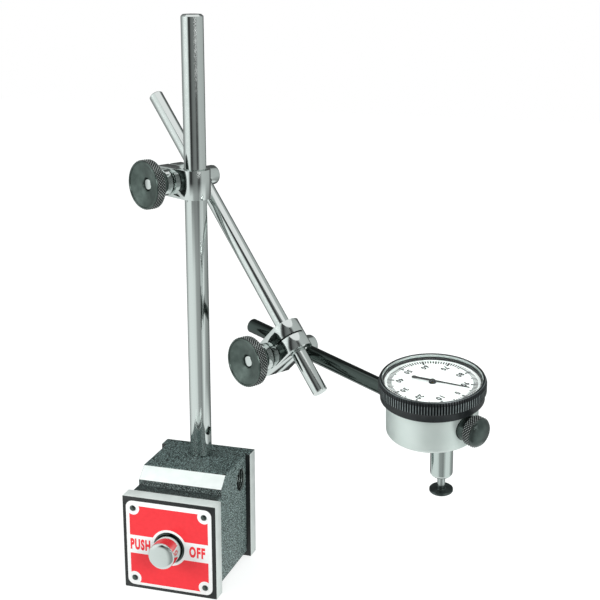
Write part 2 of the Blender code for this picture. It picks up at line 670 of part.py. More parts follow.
def push_rod(push):
    """Button and rod turned in one piece, with the sliding magnet, its clips and the rear button."""
    front = FRONT_FACE_Y - BUTTON_STAND_OUT
    back = front + BUTTON_LENGTH
    shoulder = REAR_FACE_Y - REAR_BUTTON_LENGTH - SEAT_GAP
    outline = [(0, front), (BUTTON_RADIUS - BUTTON_EDGE, front + BUTTON_CROWN)]
    outline += [(BUTTON_RADIUS, front + BUTTON_CROWN + BUTTON_EDGE), (BUTTON_RADIUS, back)]
    outline += [(PUSH_ROD_RADIUS, back), (PUSH_ROD_RADIUS, shoulder), (STUD_RADIUS, shoulder)]
    outline += [(STUD_RADIUS, shoulder + STUD_LENGTH), (0, shoulder + STUD_LENGTH)]
    add("push_button", turned("push_button", outline, SIDES_MEDIUM), push, CHROME, turn=ALONG_Y)

    bore = STUD_RADIUS + SEAT_GAP
    bottom = shoulder + STUD_LENGTH + SEAT_GAP
    outline = [(0, bottom), (bore, bottom), (bore, shoulder + SEAT_GAP), (BUTTON_RADIUS, shoulder + SEAT_GAP)]
    outline += [(BUTTON_RADIUS, REAR_FACE_Y - BUTTON_EDGE), (BUTTON_RADIUS - BUTTON_EDGE, REAR_FACE_Y)]
    outline += [(0, REAR_FACE_Y)]
    add("rear_button", turned("rear_button", outline, SIDES_MEDIUM), push, CHROME, turn=ALONG_Y)

    first_clip = PLATE_BACK_Y + SEAT_GAP + SEAT_GAP
    magnet_front = first_clip + CLIP_THICKNESS + SEAT_GAP
    magnet_back = magnet_front + SLIDING_MAGNET_LENGTH
    wide = TUNNEL_HALF_WIDTH - SEAT_GAP
    low_z = TUNNEL_FLOOR_HEIGHT + SEAT_GAP + FIXED_MAGNET_HEIGHT + SEAT_GAP - BUTTON_Z
    high_z = TUNNEL_ROOF_HEIGHT - SEAT_GAP - BUTTON_Z
    block = box("sliding_magnet", (-wide, magnet_front, low_z), (wide, magnet_back, high_z))
    magnet = add("sliding_magnet", block, push, MAGNET)
    through = SLIDING_MAGNET_LENGTH + OVERRUN
    clear = disc("rod_bore", PUSH_ROD_RADIUS + SEAT_GAP, -OVERRUN, through, SIDES_MEDIUM)
    cut(magnet, clear, "rod_bore", (0, magnet_front, 0), ALONG_Y)
    for name, start in (("front", first_clip), ("rear", magnet_back + SEAT_GAP)):
        node = "magnet_clip_" + name
        mesh = ring(node, PUSH_ROD_RADIUS + FINE_GAP, CLIP_RADIUS, start, start + CLIP_THICKNESS, SIDES_SMALL)
        add(node, mesh, push, STEEL, turn=ALONG_Y)


# Post
def post(swing):
    """The upright post with its spigot in the body and a hole for a tommy bar."""
    foot = REAR_PLATE_HEIGHT + SEAT_GAP
    spigot = REAR_PLATE_HEIGHT - POST_SPIGOT_LENGTH
    small = POST_RADIUS - POST_END_CHAMFER
    outline = [(0, spigot), (POST_SPIGOT_RADIUS, spigot), (POST_SPIGOT_RADIUS, foot), (POST_RADIUS, foot)]
    outline += [(POST_RADIUS, POST_HEIGHT - POST_END_CHAMFER), (small, POST_HEIGHT), (0, POST_HEIGHT)]
    piece = add("post", turned("post", outline, SIDES_MEDIUM), swing, CHROME)
    reach = POST_RADIUS + OVERRUN
    hole = disc("tommy_hole", TOMMY_HOLE_RADIUS, -reach, reach, SIDES_SMALL)
    cut(piece, hole, "tommy_hole", (0, 0, TOMMY_HOLE_HEIGHT), (0, pi / 2, TOMMY_HOLE_TURN))


# Swivel clamps
def clamp_block(name, parent, bore, sawn):
    """A block round the bore, slit along its middle so that the bolt pinches it."""
    half_height = CLAMP_HEIGHT / 2
    end = -(CLAMP_BOLT_OFFSET + CLAMP_END_BEYOND_BOLT)
    half = CLAMP_HALF_THICKNESS
    outline = [(end, -half)] + arc(0, 0, half, -pi / 2, pi / 2, 14) + [(end, half)]
    piece = add(name, prism(name, outline, -half_height, half_height), parent, CHROME)
    reach = half_height + OVERRUN
    cut(piece, disc(name + "_bore", bore, -reach, reach, SIDES_MEDIUM), "bore")
    slit_half = CLAMP_SLIT_WIDTH / 2
    slit = box(name + "_slit", (end - OVERRUN, -slit_half, -reach), (0, slit_half, reach))
    cut(piece, slit, "slit")
    bolt_reach = half + OVERRUN
    hole = disc(name + "_bolt_hole", EYE_SHANK_RADIUS + SEAT_GAP, -bolt_reach, bolt_reach, SIDES_MEDIUM)
    cut(piece, hole, "bolt_hole", (-CLAMP_BOLT_OFFSET, 0, 0), ALONG_Y)
    if sawn:
        saw_half = CLAMP_SAW_WIDTH / 2
        saw_low = (-half * CLAMP_SAW_START_SHARE, -half - OVERRUN, -saw_half)
        saw = box(name + "_saw", saw_low, (half + OVERRUN, half * CLAMP_SAW_END_SHARE, saw_half))
        cut(piece, saw, "saw")


def clamp_bolt_set(side, bolt, knob_frame):
    """Eye bolt with the rod through its head, grooved washer, spacer and knob on the bolt axis."""
    face = CLAMP_HALF_THICKNESS
    washer_low = face + SEAT_GAP
    washer_high = washer_low + WASHER_THICKNESS
    head_low = face + SEAT_GAP + SEAT_GAP
    spacer_low = face + SEAT_GAP
    spacer_high = spacer_low + SPACER_THICKNESS
    knob_low = spacer_high + SEAT_GAP
    rim_low = knob_low + KNOB_HUB_LENGTH
    knob_high = rim_low + KNOB_RIM_WIDTH
    bolt_end = knob_high - KNOB_DISH_DEPTH - EYE_END_RECESS

    name = side + "_eye_bolt"
    small = EYE_HEAD_RADIUS - EYE_HEAD_ROUNDING
    middle = EYE_HEAD_ROUNDING * (1 - sin(pi / 4))
    outline = [(0, -bolt_end), (EYE_SHANK_RADIUS, -bolt_end), (EYE_SHANK_RADIUS, head_low)]
    outline += [(EYE_HEAD_RADIUS, head_low), (EYE_HEAD_RADIUS, EYE_HEAD_END - EYE_HEAD_ROUNDING)]
    outline += [(EYE_HEAD_RADIUS - middle, EYE_HEAD_END - middle)]
    outline += [(small, EYE_HEAD_END), (0, EYE_HEAD_END)]
    piece = add(name, turned(name, outline, SIDES_MEDIUM), bolt, CHROME, turn=ALONG_Y)
    reach = EYE_HEAD_RADIUS + OVERRUN
    hole = disc(name + "_eye", ROD_RADIUS + SEAT_GAP, -reach, reach, SIDES_MEDIUM)
    cut(piece, hole, "eye", (0, 0, CLAMP_ROD_OFFSET), ALONG_X)

    name = side + "_groove_washer"
    mesh = ring(name, EYE_HEAD_RADIUS + SEAT_GAP, WASHER_RADIUS, washer_low, washer_high, SIDES_MEDIUM)
    washer = add(name, mesh, bolt, CHROME, turn=ALONG_Y)
    reach = WASHER_RADIUS + OVERRUN
    groove = disc(name + "_groove", ROD_RADIUS + SEAT_GAP, -reach, reach, SIDES_MEDIUM)
    cut(washer, groove, "groove", (0, 0, CLAMP_ROD_OFFSET), ALONG_X)

    name = side + "_spacer"
    mesh = ring(name, EYE_SHANK_RADIUS + SEAT_GAP, SPACER_RADIUS, spacer_low, spacer_high, SIDES_MEDIUM)
    add(name, mesh, bolt, CHROME, turn=AGAINST_Y)

    name = side + "_knob"
    bore = EYE_SHANK_RADIUS + SEAT_GAP
    rim = KNOB_RADIUS - KNOB_EDGE
    outline = [(bore, knob_low), (KNOB_HUB_RADIUS, knob_low), (KNOB_HUB_RADIUS, rim_low)]
    outline += [(rim, rim_low), (KNOB_RADIUS, rim_low + KNOB_EDGE), (KNOB_RADIUS, knob_high - KNOB_EDGE)]
    outline += [(rim, knob_high), (rim * KNOB_FLOOR_RADIUS_SHARE, knob_high - KNOB_EDGE)]
    outline += [(KNOB_DISH_FLOOR_RADIUS, knob_high - KNOB_DISH_DEPTH), (bore, knob_high - KNOB_DISH_DEPTH)]
    add(name, turned(name, outline, SIDES_MEDIUM), knob_frame, OXIDE, turn=AGAINST_Y)


# Rods and thumb nut
def arm_rod(arm):
    mesh = bar("arm_rod", ROD_RADIUS, -ARM_BEHIND_BOLT, ARM_BEYOND_BOLT, ROD_END_CHAMFER, SIDES_MEDIUM)
    add("arm_rod", mesh, arm, CHROME, turn=ALONG_X)


def holding_rod(rod):
    """The black rod ends in a thin threaded stud that runs through the indicator's case."""
    shoulder = INDICATOR_ALONG_ROD - SPOT_FACE_DISTANCE - SEAT_GAP
    nut_inner = NUT_COLLAR_LENGTH + NUT_GRIP_LENGTH
    tip = INDICATOR_ALONG_ROD + SPOT_FACE_DISTANCE + nut_inner
    start = -HOLDING_ROD_BEHIND_BOLT
    small = ROD_RADIUS - ROD_END_CHAMFER
    outline = [(0, start), (small, start), (ROD_RADIUS, start + ROD_END_CHAMFER)]
    outline += [(ROD_RADIUS, shoulder - ROD_END_CHAMFER), (small, shoulder), (ROD_STUD_RADIUS, shoulder)]
    outline += [(ROD_STUD_RADIUS, tip), (0, tip)]
    add("holding_rod", turned("holding_rod", outline, SIDES_MEDIUM), rod, ENAMEL, turn=ALONG_X)


def thumb_nut(nut):
    """A nut with a plain collar, a grip and a domed end; its thread is blind."""
    start = SPOT_FACE_DISTANCE + SEAT_GAP
    grip = start + NUT_COLLAR_LENGTH
    dome = grip + NUT_GRIP_LENGTH
    end = dome + NUT_DOME_LENGTH
    bore = ROD_STUD_RADIUS + SEAT_GAP
    depth = dome + SEAT_GAP
    outline = [(0, depth), (bore, depth), (bore, start), (NUT_COLLAR_RADIUS, start)]
    outline += [(NUT_COLLAR_RADIUS, grip), (NUT_RADIUS, grip + KNOB_EDGE), (NUT_RADIUS, dome)]
    outline += [(NUT_RADIUS * NUT_DOME_RADIUS_SHARE, end - KNOB_EDGE), (0, end)]
    add("thumb_nut", turned("thumb_nut", outline, SIDES_MEDIUM), nut, OXIDE, turn=ALONG_X)


# Indicator
def pillar_places():
    """The movement's three pillars."""
    angles = [pi / 2 + 2 * pi * i / PILLAR_COUNT for i in range(PILLAR_COUNT)]
    return [(PILLAR_CIRCLE * cos(a), PILLAR_CIRCLE * sin(a)) for a in angles]


def indicator_case(head):
    """A round cup with a cross tunnel for the stud and pillars for the movement."""
    low = -CASE_BOTTOM
    turn = CASE_ROUNDING * (1 - sin(pi / 4))
    outline = [(0, low), (CASE_RADIUS - CASE_ROUNDING, low), (CASE_RADIUS - turn, low + turn)]
    outline += [(CASE_RADIUS, low + CASE_ROUNDING), (CASE_RADIUS, CASE_TOP), (CASE_BORE_RADIUS, CASE_TOP)]
    outline += [(CASE_BORE_RADIUS, CASE_FLOOR), (0, CASE_FLOOR)]
    piece = add("indicator_case", turned("indicator_case", outline, SIDES_LARGE), head, SATIN)
    pad_in = SPOT_FACE_DISTANCE - SPOT_PAD_WALL
    pad_out = (CASE_RADIUS ** 2 - SPOT_PAD_RADIUS ** 2) ** 0.5 - FINE_GAP
    outline = [(0, -pad_out), (SPOT_PAD_RADIUS, -pad_out), (SPOT_PAD_RADIUS, -pad_in)]
    outline += [(TUNNEL_TUBE_RADIUS, -pad_in)]
    outline += [(radius, -height) for radius, height in reversed(outline)]
    join(piece, turned("case_tunnel_tube", outline, SIDES_MEDIUM), "tunnel_tube", turn=ALONG_X)
    for i, (x, y) in enumerate(pillar_places()):
        top = MOVEMENT_PLATE_HEIGHT - FINE_GAP
        pillar = disc("case_pillar", PILLAR_RADIUS, CASE_FLOOR - FINE_GAP, top, SIDES_SMALL)
        join(piece, pillar, "pillar_" + str(i + 1), (x, y, 0))
    reach = CASE_RADIUS + OVERRUN
    bore = ROD_STUD_RADIUS + SEAT_GAP
    outline = [(0, -reach), (SPOT_FACE_RADIUS, -reach), (SPOT_FACE_RADIUS, -SPOT_FACE_DISTANCE)]
    outline += [(bore, -SPOT_FACE_DISTANCE)]
    outline += [(radius, -height) for radius, height in reversed(outline)]
    cut(piece, turned("case_stud_bore", outline, SIDES_MEDIUM), "stud_bore", turn=ALONG_X)
    deep = CASE_WALL + OVERRUN
    spigot = disc("case_stem_hole", STEM_SPIGOT_RADIUS + FINE_GAP, -deep, deep, SIDES_MEDIUM)
    cut(piece, spigot, "stem_hole", (SPINDLE_OFFSET_X, SPINDLE_OFFSET_Y, CASE_FLOOR - CASE_WALL / 2))
    for i, (x, y) in enumerate(pillar_places()):
        low = MOVEMENT_PLATE_HEIGHT - MOVEMENT_SCREW_LENGTH
        hole = disc("case_screw_hole", MOVEMENT_SCREW_RADIUS + FINE_GAP, low, MOVEMENT_PLATE_TOP, SIDES_SMALL)
        cut(piece, hole, "screw_hole_" + str(i + 1), (x, y, 0))


def stem(head):
    """The stem with its spigot in the case floor, and a bush that guides the spindle."""
    place = (SPINDLE_OFFSET_X, SPINDLE_OFFSET_Y, 0)
    slide = SPINDLE_RADIUS + SEAT_GAP
    shoulder = -CASE_BOTTOM - SEAT_GAP
    top = CASE_FLOOR + SEAT_GAP
    chamber = shoulder + SEAT_GAP - STEM_HEAD_LENGTH + CASE_WALL
    rounding = STEM_RADIUS - STEM_END_ROUNDING
    turn = STEM_END_ROUNDING * (1 - sin(pi / 4))
    outline = [(STEM_BORE_RADIUS, -STEM_LENGTH), (rounding, -STEM_LENGTH)]
    outline += [(STEM_RADIUS - turn, -STEM_LENGTH + turn), (STEM_RADIUS, -STEM_LENGTH + STEM_END_ROUNDING)]
    outline += [(STEM_RADIUS, shoulder), (STEM_SPIGOT_RADIUS, shoulder), (STEM_SPIGOT_RADIUS, top)]
    outline += [(slide, top), (slide, chamber), (STEM_BORE_RADIUS, chamber)]
    add("stem", turned("stem", outline, SIDES_MEDIUM), head, CHROME, place)
    outer = STEM_BORE_RADIUS - FINE_GAP
    low = -STEM_LENGTH + SKIN_GAP
    bush = ring("stem_bush", slide, outer, low, low + STEM_BUSH_LENGTH, SIDES_MEDIUM)
    add("stem_bush", bush, head, BRASS, place)
    return chamber


def bezel(bezel_frame):
    """The knurled bezel with the ledge for the dial, the ring and the crystal."""
    inner = CASE_RADIUS + SEAT_GAP
    ledge_top = LEDGE_BOTTOM + BEZEL_LEDGE_THICKNESS
    outline = [(inner, BEZEL_BOTTOM), (BEZEL_SKIRT_RADIUS, BEZEL_BOTTOM)]
    outline += [(BEZEL_SKIRT_RADIUS, BEZEL_GRIP_BOTTOM), (BEZEL_RADIUS, BEZEL_GRIP_BOTTOM)]
    outline += [(BEZEL_RADIUS, BEZEL_GRIP_TOP), (BEZEL_CREST_RADIUS, BEZEL_TOP)]
    outline += [(BEZEL_OPENING_RADIUS, BEZEL_TOP), (BEZEL_OPENING_RADIUS, ledge_top)]
    outline += [(BEZEL_LEDGE_RADIUS, ledge_top), (BEZEL_LEDGE_RADIUS, LEDGE_BOTTOM), (inner, LEDGE_BOTTOM)]
    add("bezel", turned("bezel", outline, SIDES_LARGE), bezel_frame, OXIDE)
    dial = ring("dial_face", DIAL_HOLE_RADIUS, DISC_RADIUS, DIAL_BOTTOM, DIAL_TOP, SIDES_LARGE)
    add("dial_face", dial, bezel_frame, WHITE)
    ring_low = DIAL_TOP + FINE_GAP
    ring_high = CRYSTAL_BOTTOM - FINE_GAP
    ring_inner = DISC_RADIUS - CRYSTAL_RING_WALL
    spacer = ring("crystal_ring", ring_inner, DISC_RADIUS, ring_low, ring_high, SIDES_LARGE)
    add("crystal_ring", spacer, bezel_frame, STEEL)
    add("crystal", disc("crystal", DISC_RADIUS, CRYSTAL_BOTTOM, CRYSTAL_TOP, SIDES_LARGE), bezel_frame, CLEAR)


def hand(centre):
    """The hand on the centre arbor: a long thin blade and a short wide tail round a hub."""
    low = DIAL_TOP + HAND_ABOVE_DIAL
    high = low + HAND_THICKNESS
    root = HAND_HUB_RADIUS * HAND_ROOT_SHARE
    outline = [(-HAND_TAIL, -HAND_TAIL_HALF_WIDTH), (-root, -HAND_ROOT_HALF_WIDTH)]
    outline += [(root, -HAND_ROOT_HALF_WIDTH), (HAND_LENGTH, -HAND_TIP_HALF_WIDTH)]
    outline += [(HAND_LENGTH, HAND_TIP_HALF_WIDTH), (root, HAND_ROOT_HALF_WIDTH)]
    outline += [(-root, HAND_ROOT_HALF_WIDTH), (-HAND_TAIL, HAND_TAIL_HALF_WIDTH)]
    piece = add("hand", prism("hand", outline, low, high), centre, ENAMEL, turn=(0, 0, HAND_TURN))
    join(piece, disc("hand_hub", HAND_HUB_RADIUS, low - FINE_GAP, high + FINE_GAP, SIDES_SMALL), "hub")
    hole = disc("hand_hole", ARBOR_RADIUS + FINE_GAP, low - OVERRUN, high - FINE_GAP, SIDES_SMALL)
    cut(piece, hole, "arbor_hole")
    return high - FINE_GAP - FINE_GAP


def spindle(plunger):
    """The measuring spindle with its rack, the contact disc and the spring collar."""
    low = -STEM_LENGTH - SPINDLE_BELOW_STEM
    tip = low - CONTACT_TIP_LENGTH
    outline = [(0, tip), (CONTACT_TIP_RADIUS, tip), (CONTACT_TIP_RADIUS, low), (SPINDLE_RADIUS, low)]
    outline += [(SPINDLE_RADIUS, SPINDLE_TOP), (0, SPINDLE_TOP)]
    piece = add("spindle", turned("spindle", outline, SIDES_MEDIUM), plunger, STEEL)
    tip_y = -RACK_LINE_FROM_SPINDLE - RACK_PITCH * TOOTH_RISE_SHARE
    root_y = -RACK_LINE_FROM_SPINDLE + RACK_PITCH * TOOTH_DEPTH_SHARE
    out_y = -SPINDLE_RADIUS - OVERRUN
    root_half = RACK_PITCH * (1 - TOOTH_WIDTH_SHARE) / 2
    tip_half = RACK_PITCH * (1 - TOOTH_WIDTH_SHARE * TOOTH_TIP_SHARE) / 2
    gaps = int(RACK_LENGTH / RACK_PITCH)
    first = RACK_AXIS_HEIGHT - RACK_PITCH * (gaps - 2)
    bottom = first - RACK_PITCH
    outline = [(out_y, SPINDLE_TOP + OVERRUN), (out_y, bottom), (tip_y, bottom)]
    for i in range(gaps):
        middle = first + RACK_PITCH * i
        outline += [(tip_y, middle - tip_half), (root_y, middle - root_half)]
        outline += [(root_y, middle + root_half), (tip_y, middle + tip_half)]
    outline += [(tip_y, SPINDLE_TOP + OVERRUN)]
    comb = prism("rack_comb", outline, -SPINDLE_RADIUS - OVERRUN, SPINDLE_RADIUS + OVERRUN)
    comb.transform(Matrix(((0, 0, 1, 0), (1, 0, 0, 0), (0, 1, 0, 0), (0, 0, 0, 1))))
    cut(piece, comb, "rack")

    hub_top = low - SEAT_GAP
    disc_top = hub_top - CONTACT_HUB_LENGTH
    disc_low = disc_top - CONTACT_THICKNESS
    bore = CONTACT_TIP_RADIUS + FINE_GAP
    depth = tip - FINE_GAP
    outline = [(0, depth), (bore, depth), (bore, hub_top), (CONTACT_HUB_RADIUS, hub_top)]
    outline += [(CONTACT_HUB_RADIUS, disc_top), (CONTACT_RADIUS, disc_top), (CONTACT_RADIUS, disc_low)]
    outline += [(0, disc_low)]
    add("contact_disc", turned("contact_disc", outline, SIDES_MEDIUM), plunger, STEEL)


def spring(head, plunger, chamber):
    """The return spring stands between the stem's head and the collar on the spindle."""
    top = chamber - SEAT_GAP
    low = top - SPRING_LENGTH
    collar_top = low - SEAT_GAP
    collar_low = collar_top - COLLAR_THICKNESS
    bore = SPINDLE_RADIUS + FINE_GAP
    collar = ring("spindle_collar", bore, COLLAR_RADIUS, collar_low, collar_top, SIDES_SMALL)
    add("spindle_collar", collar, plunger, STEEL)
    radius = (SPINDLE_RADIUS + STEM_BORE_RADIUS) / 2
    steps = SPRING_TURNS * SPRING_STEPS
    rise = SPRING_LENGTH - 2 * SPRING_WIRE_RADIUS
    points = []
    for i in range(steps + 1):
        angle = 2 * pi * i / SPRING_STEPS
        points.append((radius * cos(angle), radius * sin(angle), low + SPRING_WIRE_RADIUS + rise * i / steps))
    wire("return_spring", points, SPRING_WIRE_RADIUS, head, STEEL, (SPINDLE_OFFSET_X, SPINDLE_OFFSET_Y, 0))


def crown_mesh():
    """The crown wheel: a disc with teeth that stand up from its face."""
    inner = CROWN_RADIUS - CROWN_TOOTH_LENGTH / 2
    outer = CROWN_RADIUS + CROWN_TOOTH_LENGTH / 2
    face = CROWN_DISC_X + CROWN_DISC_THICKNESS
    half = TOOTH_WIDTH_SHARE * pi / CROWN_TEETH
    angles = []
    for i in range(CROWN_TEETH):
        centre = 2 * pi * i / CROWN_TEETH
        angles += [centre - half, centre + half]
    bm = bmesh.new()
    rows = []
    for radius, height in ((inner, face), (outer, face), (outer, CROWN_DISC_X), (inner, CROWN_DISC_X)):
        rows.append([bm.verts.new((radius * cos(a), radius * sin(a), height)) for a in angles])
    count = len(angles)
    teeth = []
    for first, second in zip(rows, rows[1:]):
        for i in range(count):
            j = (i + 1) % count
            side = bm.faces.new((first[i], first[j], second[j], second[i]))
            if first is rows[0] and i % 2 == 0:
                teeth.append(side)
    bm.faces.new(rows[0])
    bm.faces.new(rows[3])
    bmesh.ops.recalc_face_normals(bm, faces=bm.faces)
    drawn = bmesh.ops.extrude_face_region(bm, geom=teeth)
    risen = [v for v in drawn["geom"] if isinstance(v, bmesh.types.BMVert)]
    bmesh.ops.translate(bm, vec=(0, 0, CROWN_TOOTH_DEPTH), verts=risen)
    bmesh.ops.delete(bm, geom=teeth, context="FACES_ONLY")
    return mesh_from(bm, "crown_wheel")


def crown_arbor(crown):
    """The arbor across the case: rack pinion in the middle, crown wheel at its right end."""
    end = CROWN_DISC_X + CROWN_DISC_THICKNESS + SKIN_GAP
    mesh = disc("crown_arbor", ARBOR_RADIUS, -ARBOR_LEFT_END, end, SIDES_SMALL)
    piece = add("crown_arbor", mesh, crown, BRASS, turn=ALONG_X)
    half = RACK_PINION_WIDTH / 2
    middle = SPINDLE_OFFSET_X
    pinion = gear("rack_pinion", RACK_PINION_TEETH, RACK_PINION_RADIUS, pi / 2, middle - half, middle + half)
    join(piece, pinion, "rack_pinion")
    join(piece, crown_mesh(), "crown_wheel")


def transfer_arbor(transfer):
    """The upright arbor: a pinion driven by the crown wheel and the large wheel above the plate."""
    low = CASE_FLOOR + SEAT_GAP
    wheel_low = MOVEMENT_PLATE_TOP + SEAT_GAP
    high = wheel_low + WHEEL_THICKNESS + SEAT_GAP
    mesh = disc("transfer_arbor", TRANSFER_ARBOR_RADIUS, low, high, SIDES_SMALL)
    piece = add("transfer_arbor", mesh, transfer, BRASS)
    pinion_middle = RACK_AXIS_HEIGHT + CROWN_RADIUS - CROWN_PINION_RISE
    half = CROWN_PINION_WIDTH / 2
    gap_phase = pi + pi / CROWN_PINION_TEETH
    pinion_low = pinion_middle - half
    pinion_high = pinion_middle + half
    pinion = gear("crown_pinion", CROWN_PINION_TEETH, CROWN_PINION_RADIUS, gap_phase, pinion_low, pinion_high)
    join(piece, pinion, "crown_pinion")
    towards_centre = atan2(-TRANSFER_Y, -TRANSFER_X)
    wheel_high = wheel_low + WHEEL_THICKNESS
    wheel = gear("large_wheel", WHEEL_TEETH, WHEEL_RADIUS, towards_centre, wheel_low, wheel_high)
    join(piece, wheel, "large_wheel")


def centre_arbor(centre, top):
    """The arbor of the hand, with the pinion that the large wheel drives."""
    low = MOVEMENT_PLATE_HEIGHT - SEAT_GAP
    piece = add("centre_arbor", disc("centre_arbor", ARBOR_RADIUS, low, top, SIDES_SMALL), centre, BRASS)
    pinion_low = MOVEMENT_PLATE_TOP + SEAT_GAP - SKIN_GAP
    phase = atan2(TRANSFER_Y, TRANSFER_X) + pi / CENTRE_PINION_TEETH
    pinion_high = pinion_low + WHEEL_THICKNESS + SEAT_GAP
    pinion = gear("centre_pinion", CENTRE_PINION_TEETH, CENTRE_PINION_RADIUS, phase, pinion_low, pinion_high)
    join(piece, pinion, "centre_pinion")


def movement_plate(head):
    """The plate that carries the train, its screws, and the brackets of the crown arbor."""
    low = MOVEMENT_PLATE_HEIGHT
    mesh = disc("movement_plate", CASE_BORE_RADIUS - SEAT_GAP, low, MOVEMENT_PLATE_TOP, SIDES_MEDIUM)
    piece = add("movement_plate", mesh, head, BRASS)
    holes = [("spindle_hole", SPINDLE_OFFSET_X, SPINDLE_OFFSET_Y, SPINDLE_RADIUS + SEAT_GAP)]
    holes += [("transfer_hole", TRANSFER_X, TRANSFER_Y, TRANSFER_ARBOR_RADIUS + SHAFT_AIR)]
    holes += [("centre_hole", 0, 0, ARBOR_RADIUS + SHAFT_AIR)]
    for i, (x, y) in enumerate(pillar_places()):
        holes.append(("screw_hole_" + str(i + 1), x, y, MOVEMENT_SCREW_RADIUS + FINE_GAP))
    for what, x, y, hole_radius in holes:
        hole = disc("plate_" + what, hole_radius, low - OVERRUN, MOVEMENT_PLATE_TOP + OVERRUN, SIDES_SMALL)
        cut(piece, hole, what, (x, y, 0))
    head_low = MOVEMENT_PLATE_TOP + FINE_GAP
    shank_low = head_low - MOVEMENT_SCREW_LENGTH
    head_high = head_low + MOVEMENT_SCREW_HEAD_HEIGHT
    outline = [(0, shank_low), (MOVEMENT_SCREW_RADIUS, shank_low), (MOVEMENT_SCREW_RADIUS, head_low)]
    outline += [(MOVEMENT_SCREW_HEAD_RADIUS, head_low), (MOVEMENT_SCREW_HEAD_RADIUS, head_high)]
    outline += [(0, head_high)]
    for i, (x, y) in enumerate(pillar_places()):
        name = "movement_screw_" + str(i + 1)
        add(name, turned(name, outline, SIDES_SMALL), head, STEEL, (x, y, 0))
    for name, x in (("bracket_left", BRACKET_LEFT_X), ("bracket_right", BRACKET_RIGHT_X)):
        near = (x, CROWN_ARBOR_Y - BRACKET_HALF_WIDTH, RACK_AXIS_HEIGHT - BRACKET_BELOW_AXIS)
        far = (x + BRACKET_THICKNESS, CROWN_ARBOR_Y + BRACKET_HALF_WIDTH, low - FINE_GAP)
        bracket = add(name, box(name, near, far), head, BRASS)
        through = BRACKET_THICKNESS + OVERRUN
        hole = disc(name + "_hole", ARBOR_RADIUS + SHAFT_AIR, -OVERRUN, through, SIDES_SMALL)
        cut(bracket, hole, "pivot_hole", (x, CROWN_ARBOR_Y, RACK_AXIS_HEIGHT), ALONG_X)


def hairspring(head):
    """A flat spiral round the centre arbor that takes up the play of the train."""
    height = DIAL_BOTTOM - HAIRSPRING_BELOW_DIAL
    steps = HAIRSPRING_TURNS * HAIRSPRING_STEPS
    growth = HAIRSPRING_OUTER_RADIUS - HAIRSPRING_INNER_RADIUS
    points = []
    for i in range(steps + 1):
        angle = 2 * pi * i / HAIRSPRING_STEPS
        radius = HAIRSPRING_INNER_RADIUS + growth * i / steps
        points.append((radius * cos(angle), radius * sin(angle), height))
    wire("hairspring", points, HAIRSPRING_WIRE_RADIUS, head, STEEL)


# Frames of the moving bodies
PUSH = frame("push_frame", None, (0, 0, BUTTON_Z))
SWING = frame("swing_frame", None, (0, POST_Y, 0), (0, 0, SWING_TURN))
UPPER = frame("upper_clamp_frame", SWING, (0, 0, UPPER_CLAMP_HEIGHT))
UPPER_BOLT = frame("upper_bolt_frame", UPPER, (-CLAMP_BOLT_OFFSET, 0, 0), (0, ARM_TILT, 0))
UPPER_KNOB = frame("upper_knob_frame", UPPER_BOLT)
ARM = frame("arm_frame", UPPER_BOLT, (0, CLAMP_ROD_OFFSET, 0))
LOWER = frame("lower_clamp_frame", ARM, (LOWER_CLAMP_ALONG_ARM, 0, 0), (0, -pi / 2, 0))
LOWER_BOLT_TURN = HOLDING_ROD_TILT - ARM_TILT + pi / 2
LOWER_BOLT = frame("lower_bolt_frame", LOWER, (-CLAMP_BOLT_OFFSET, 0, 0), (0, LOWER_BOLT_TURN, 0))
LOWER_KNOB = frame("lower_knob_frame", LOWER_BOLT)
ROD = frame("holding_rod_frame", LOWER_BOLT, (0, CLAMP_ROD_OFFSET, 0))
HEAD = frame("indicator_frame", ROD, (INDICATOR_ALONG_ROD, 0, 0), (INDICATOR_TURN, 0, 0))
NUT = frame("thumb_nut_frame", ROD, (INDICATOR_ALONG_ROD, 0, 0))
BEZEL = frame("bezel_frame", HEAD)
PLUNGER = frame("plunger_frame", HEAD, (SPINDLE_OFFSET_X, SPINDLE_OFFSET_Y, 0))
CROWN = frame("crown_frame", HEAD, (0, CROWN_ARBOR_Y, RACK_AXIS_HEIGHT))
TRANSFER = frame("transfer_frame", HEAD, (TRANSFER_X, TRANSFER_Y, 0))
CENTRE = frame("centre_frame", HEAD)

# Magnetic base
FRONT_PLATE = plate("front_plate", FRONT_FACE_Y, FRONT_PLATE_HEIGHT)
REAR_PLATE = plate("rear_plate", REAR_PLATE_FRONT_Y, REAR_PLATE_HEIGHT)
BODY = base_body()
label()
rivets(FRONT_PLATE)
plate_screws(FRONT_PLATE, REAR_PLATE, BODY)
bushes()
magnets()
push_rod(PUSH)

# Post, clamps and rods
post(SWING)
clamp_block("upper_clamp_block", UPPER, POST_RADIUS + SEAT_GAP, False)
clamp_bolt_set("upper", UPPER_BOLT, UPPER_KNOB)
arm_rod(ARM)
clamp_block("lower_clamp_block", LOWER, ROD_RADIUS + SEAT_GAP, True)
clamp_bolt_set("lower", LOWER_BOLT, LOWER_KNOB)
holding_rod(ROD)
thumb_nut(NUT)

# Indicator
indicator_case(HEAD)
CHAMBER = stem(HEAD)
bezel(BEZEL)
ARBOR_TOP = hand(CENTRE)
spindle(PLUNGER)
spring(HEAD, PLUNGER, CHAMBER)
crown_arbor(CROWN)
transfer_arbor(TRANSFER)
centre_arbor(CENTRE, ARBOR_TOP)
movement_plate(HEAD)
hairspring(HEAD)
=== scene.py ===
from math import atan2, cos, degrees, hypot, pi, radians, sin

import bpy
from mathutils import Matrix, Vector


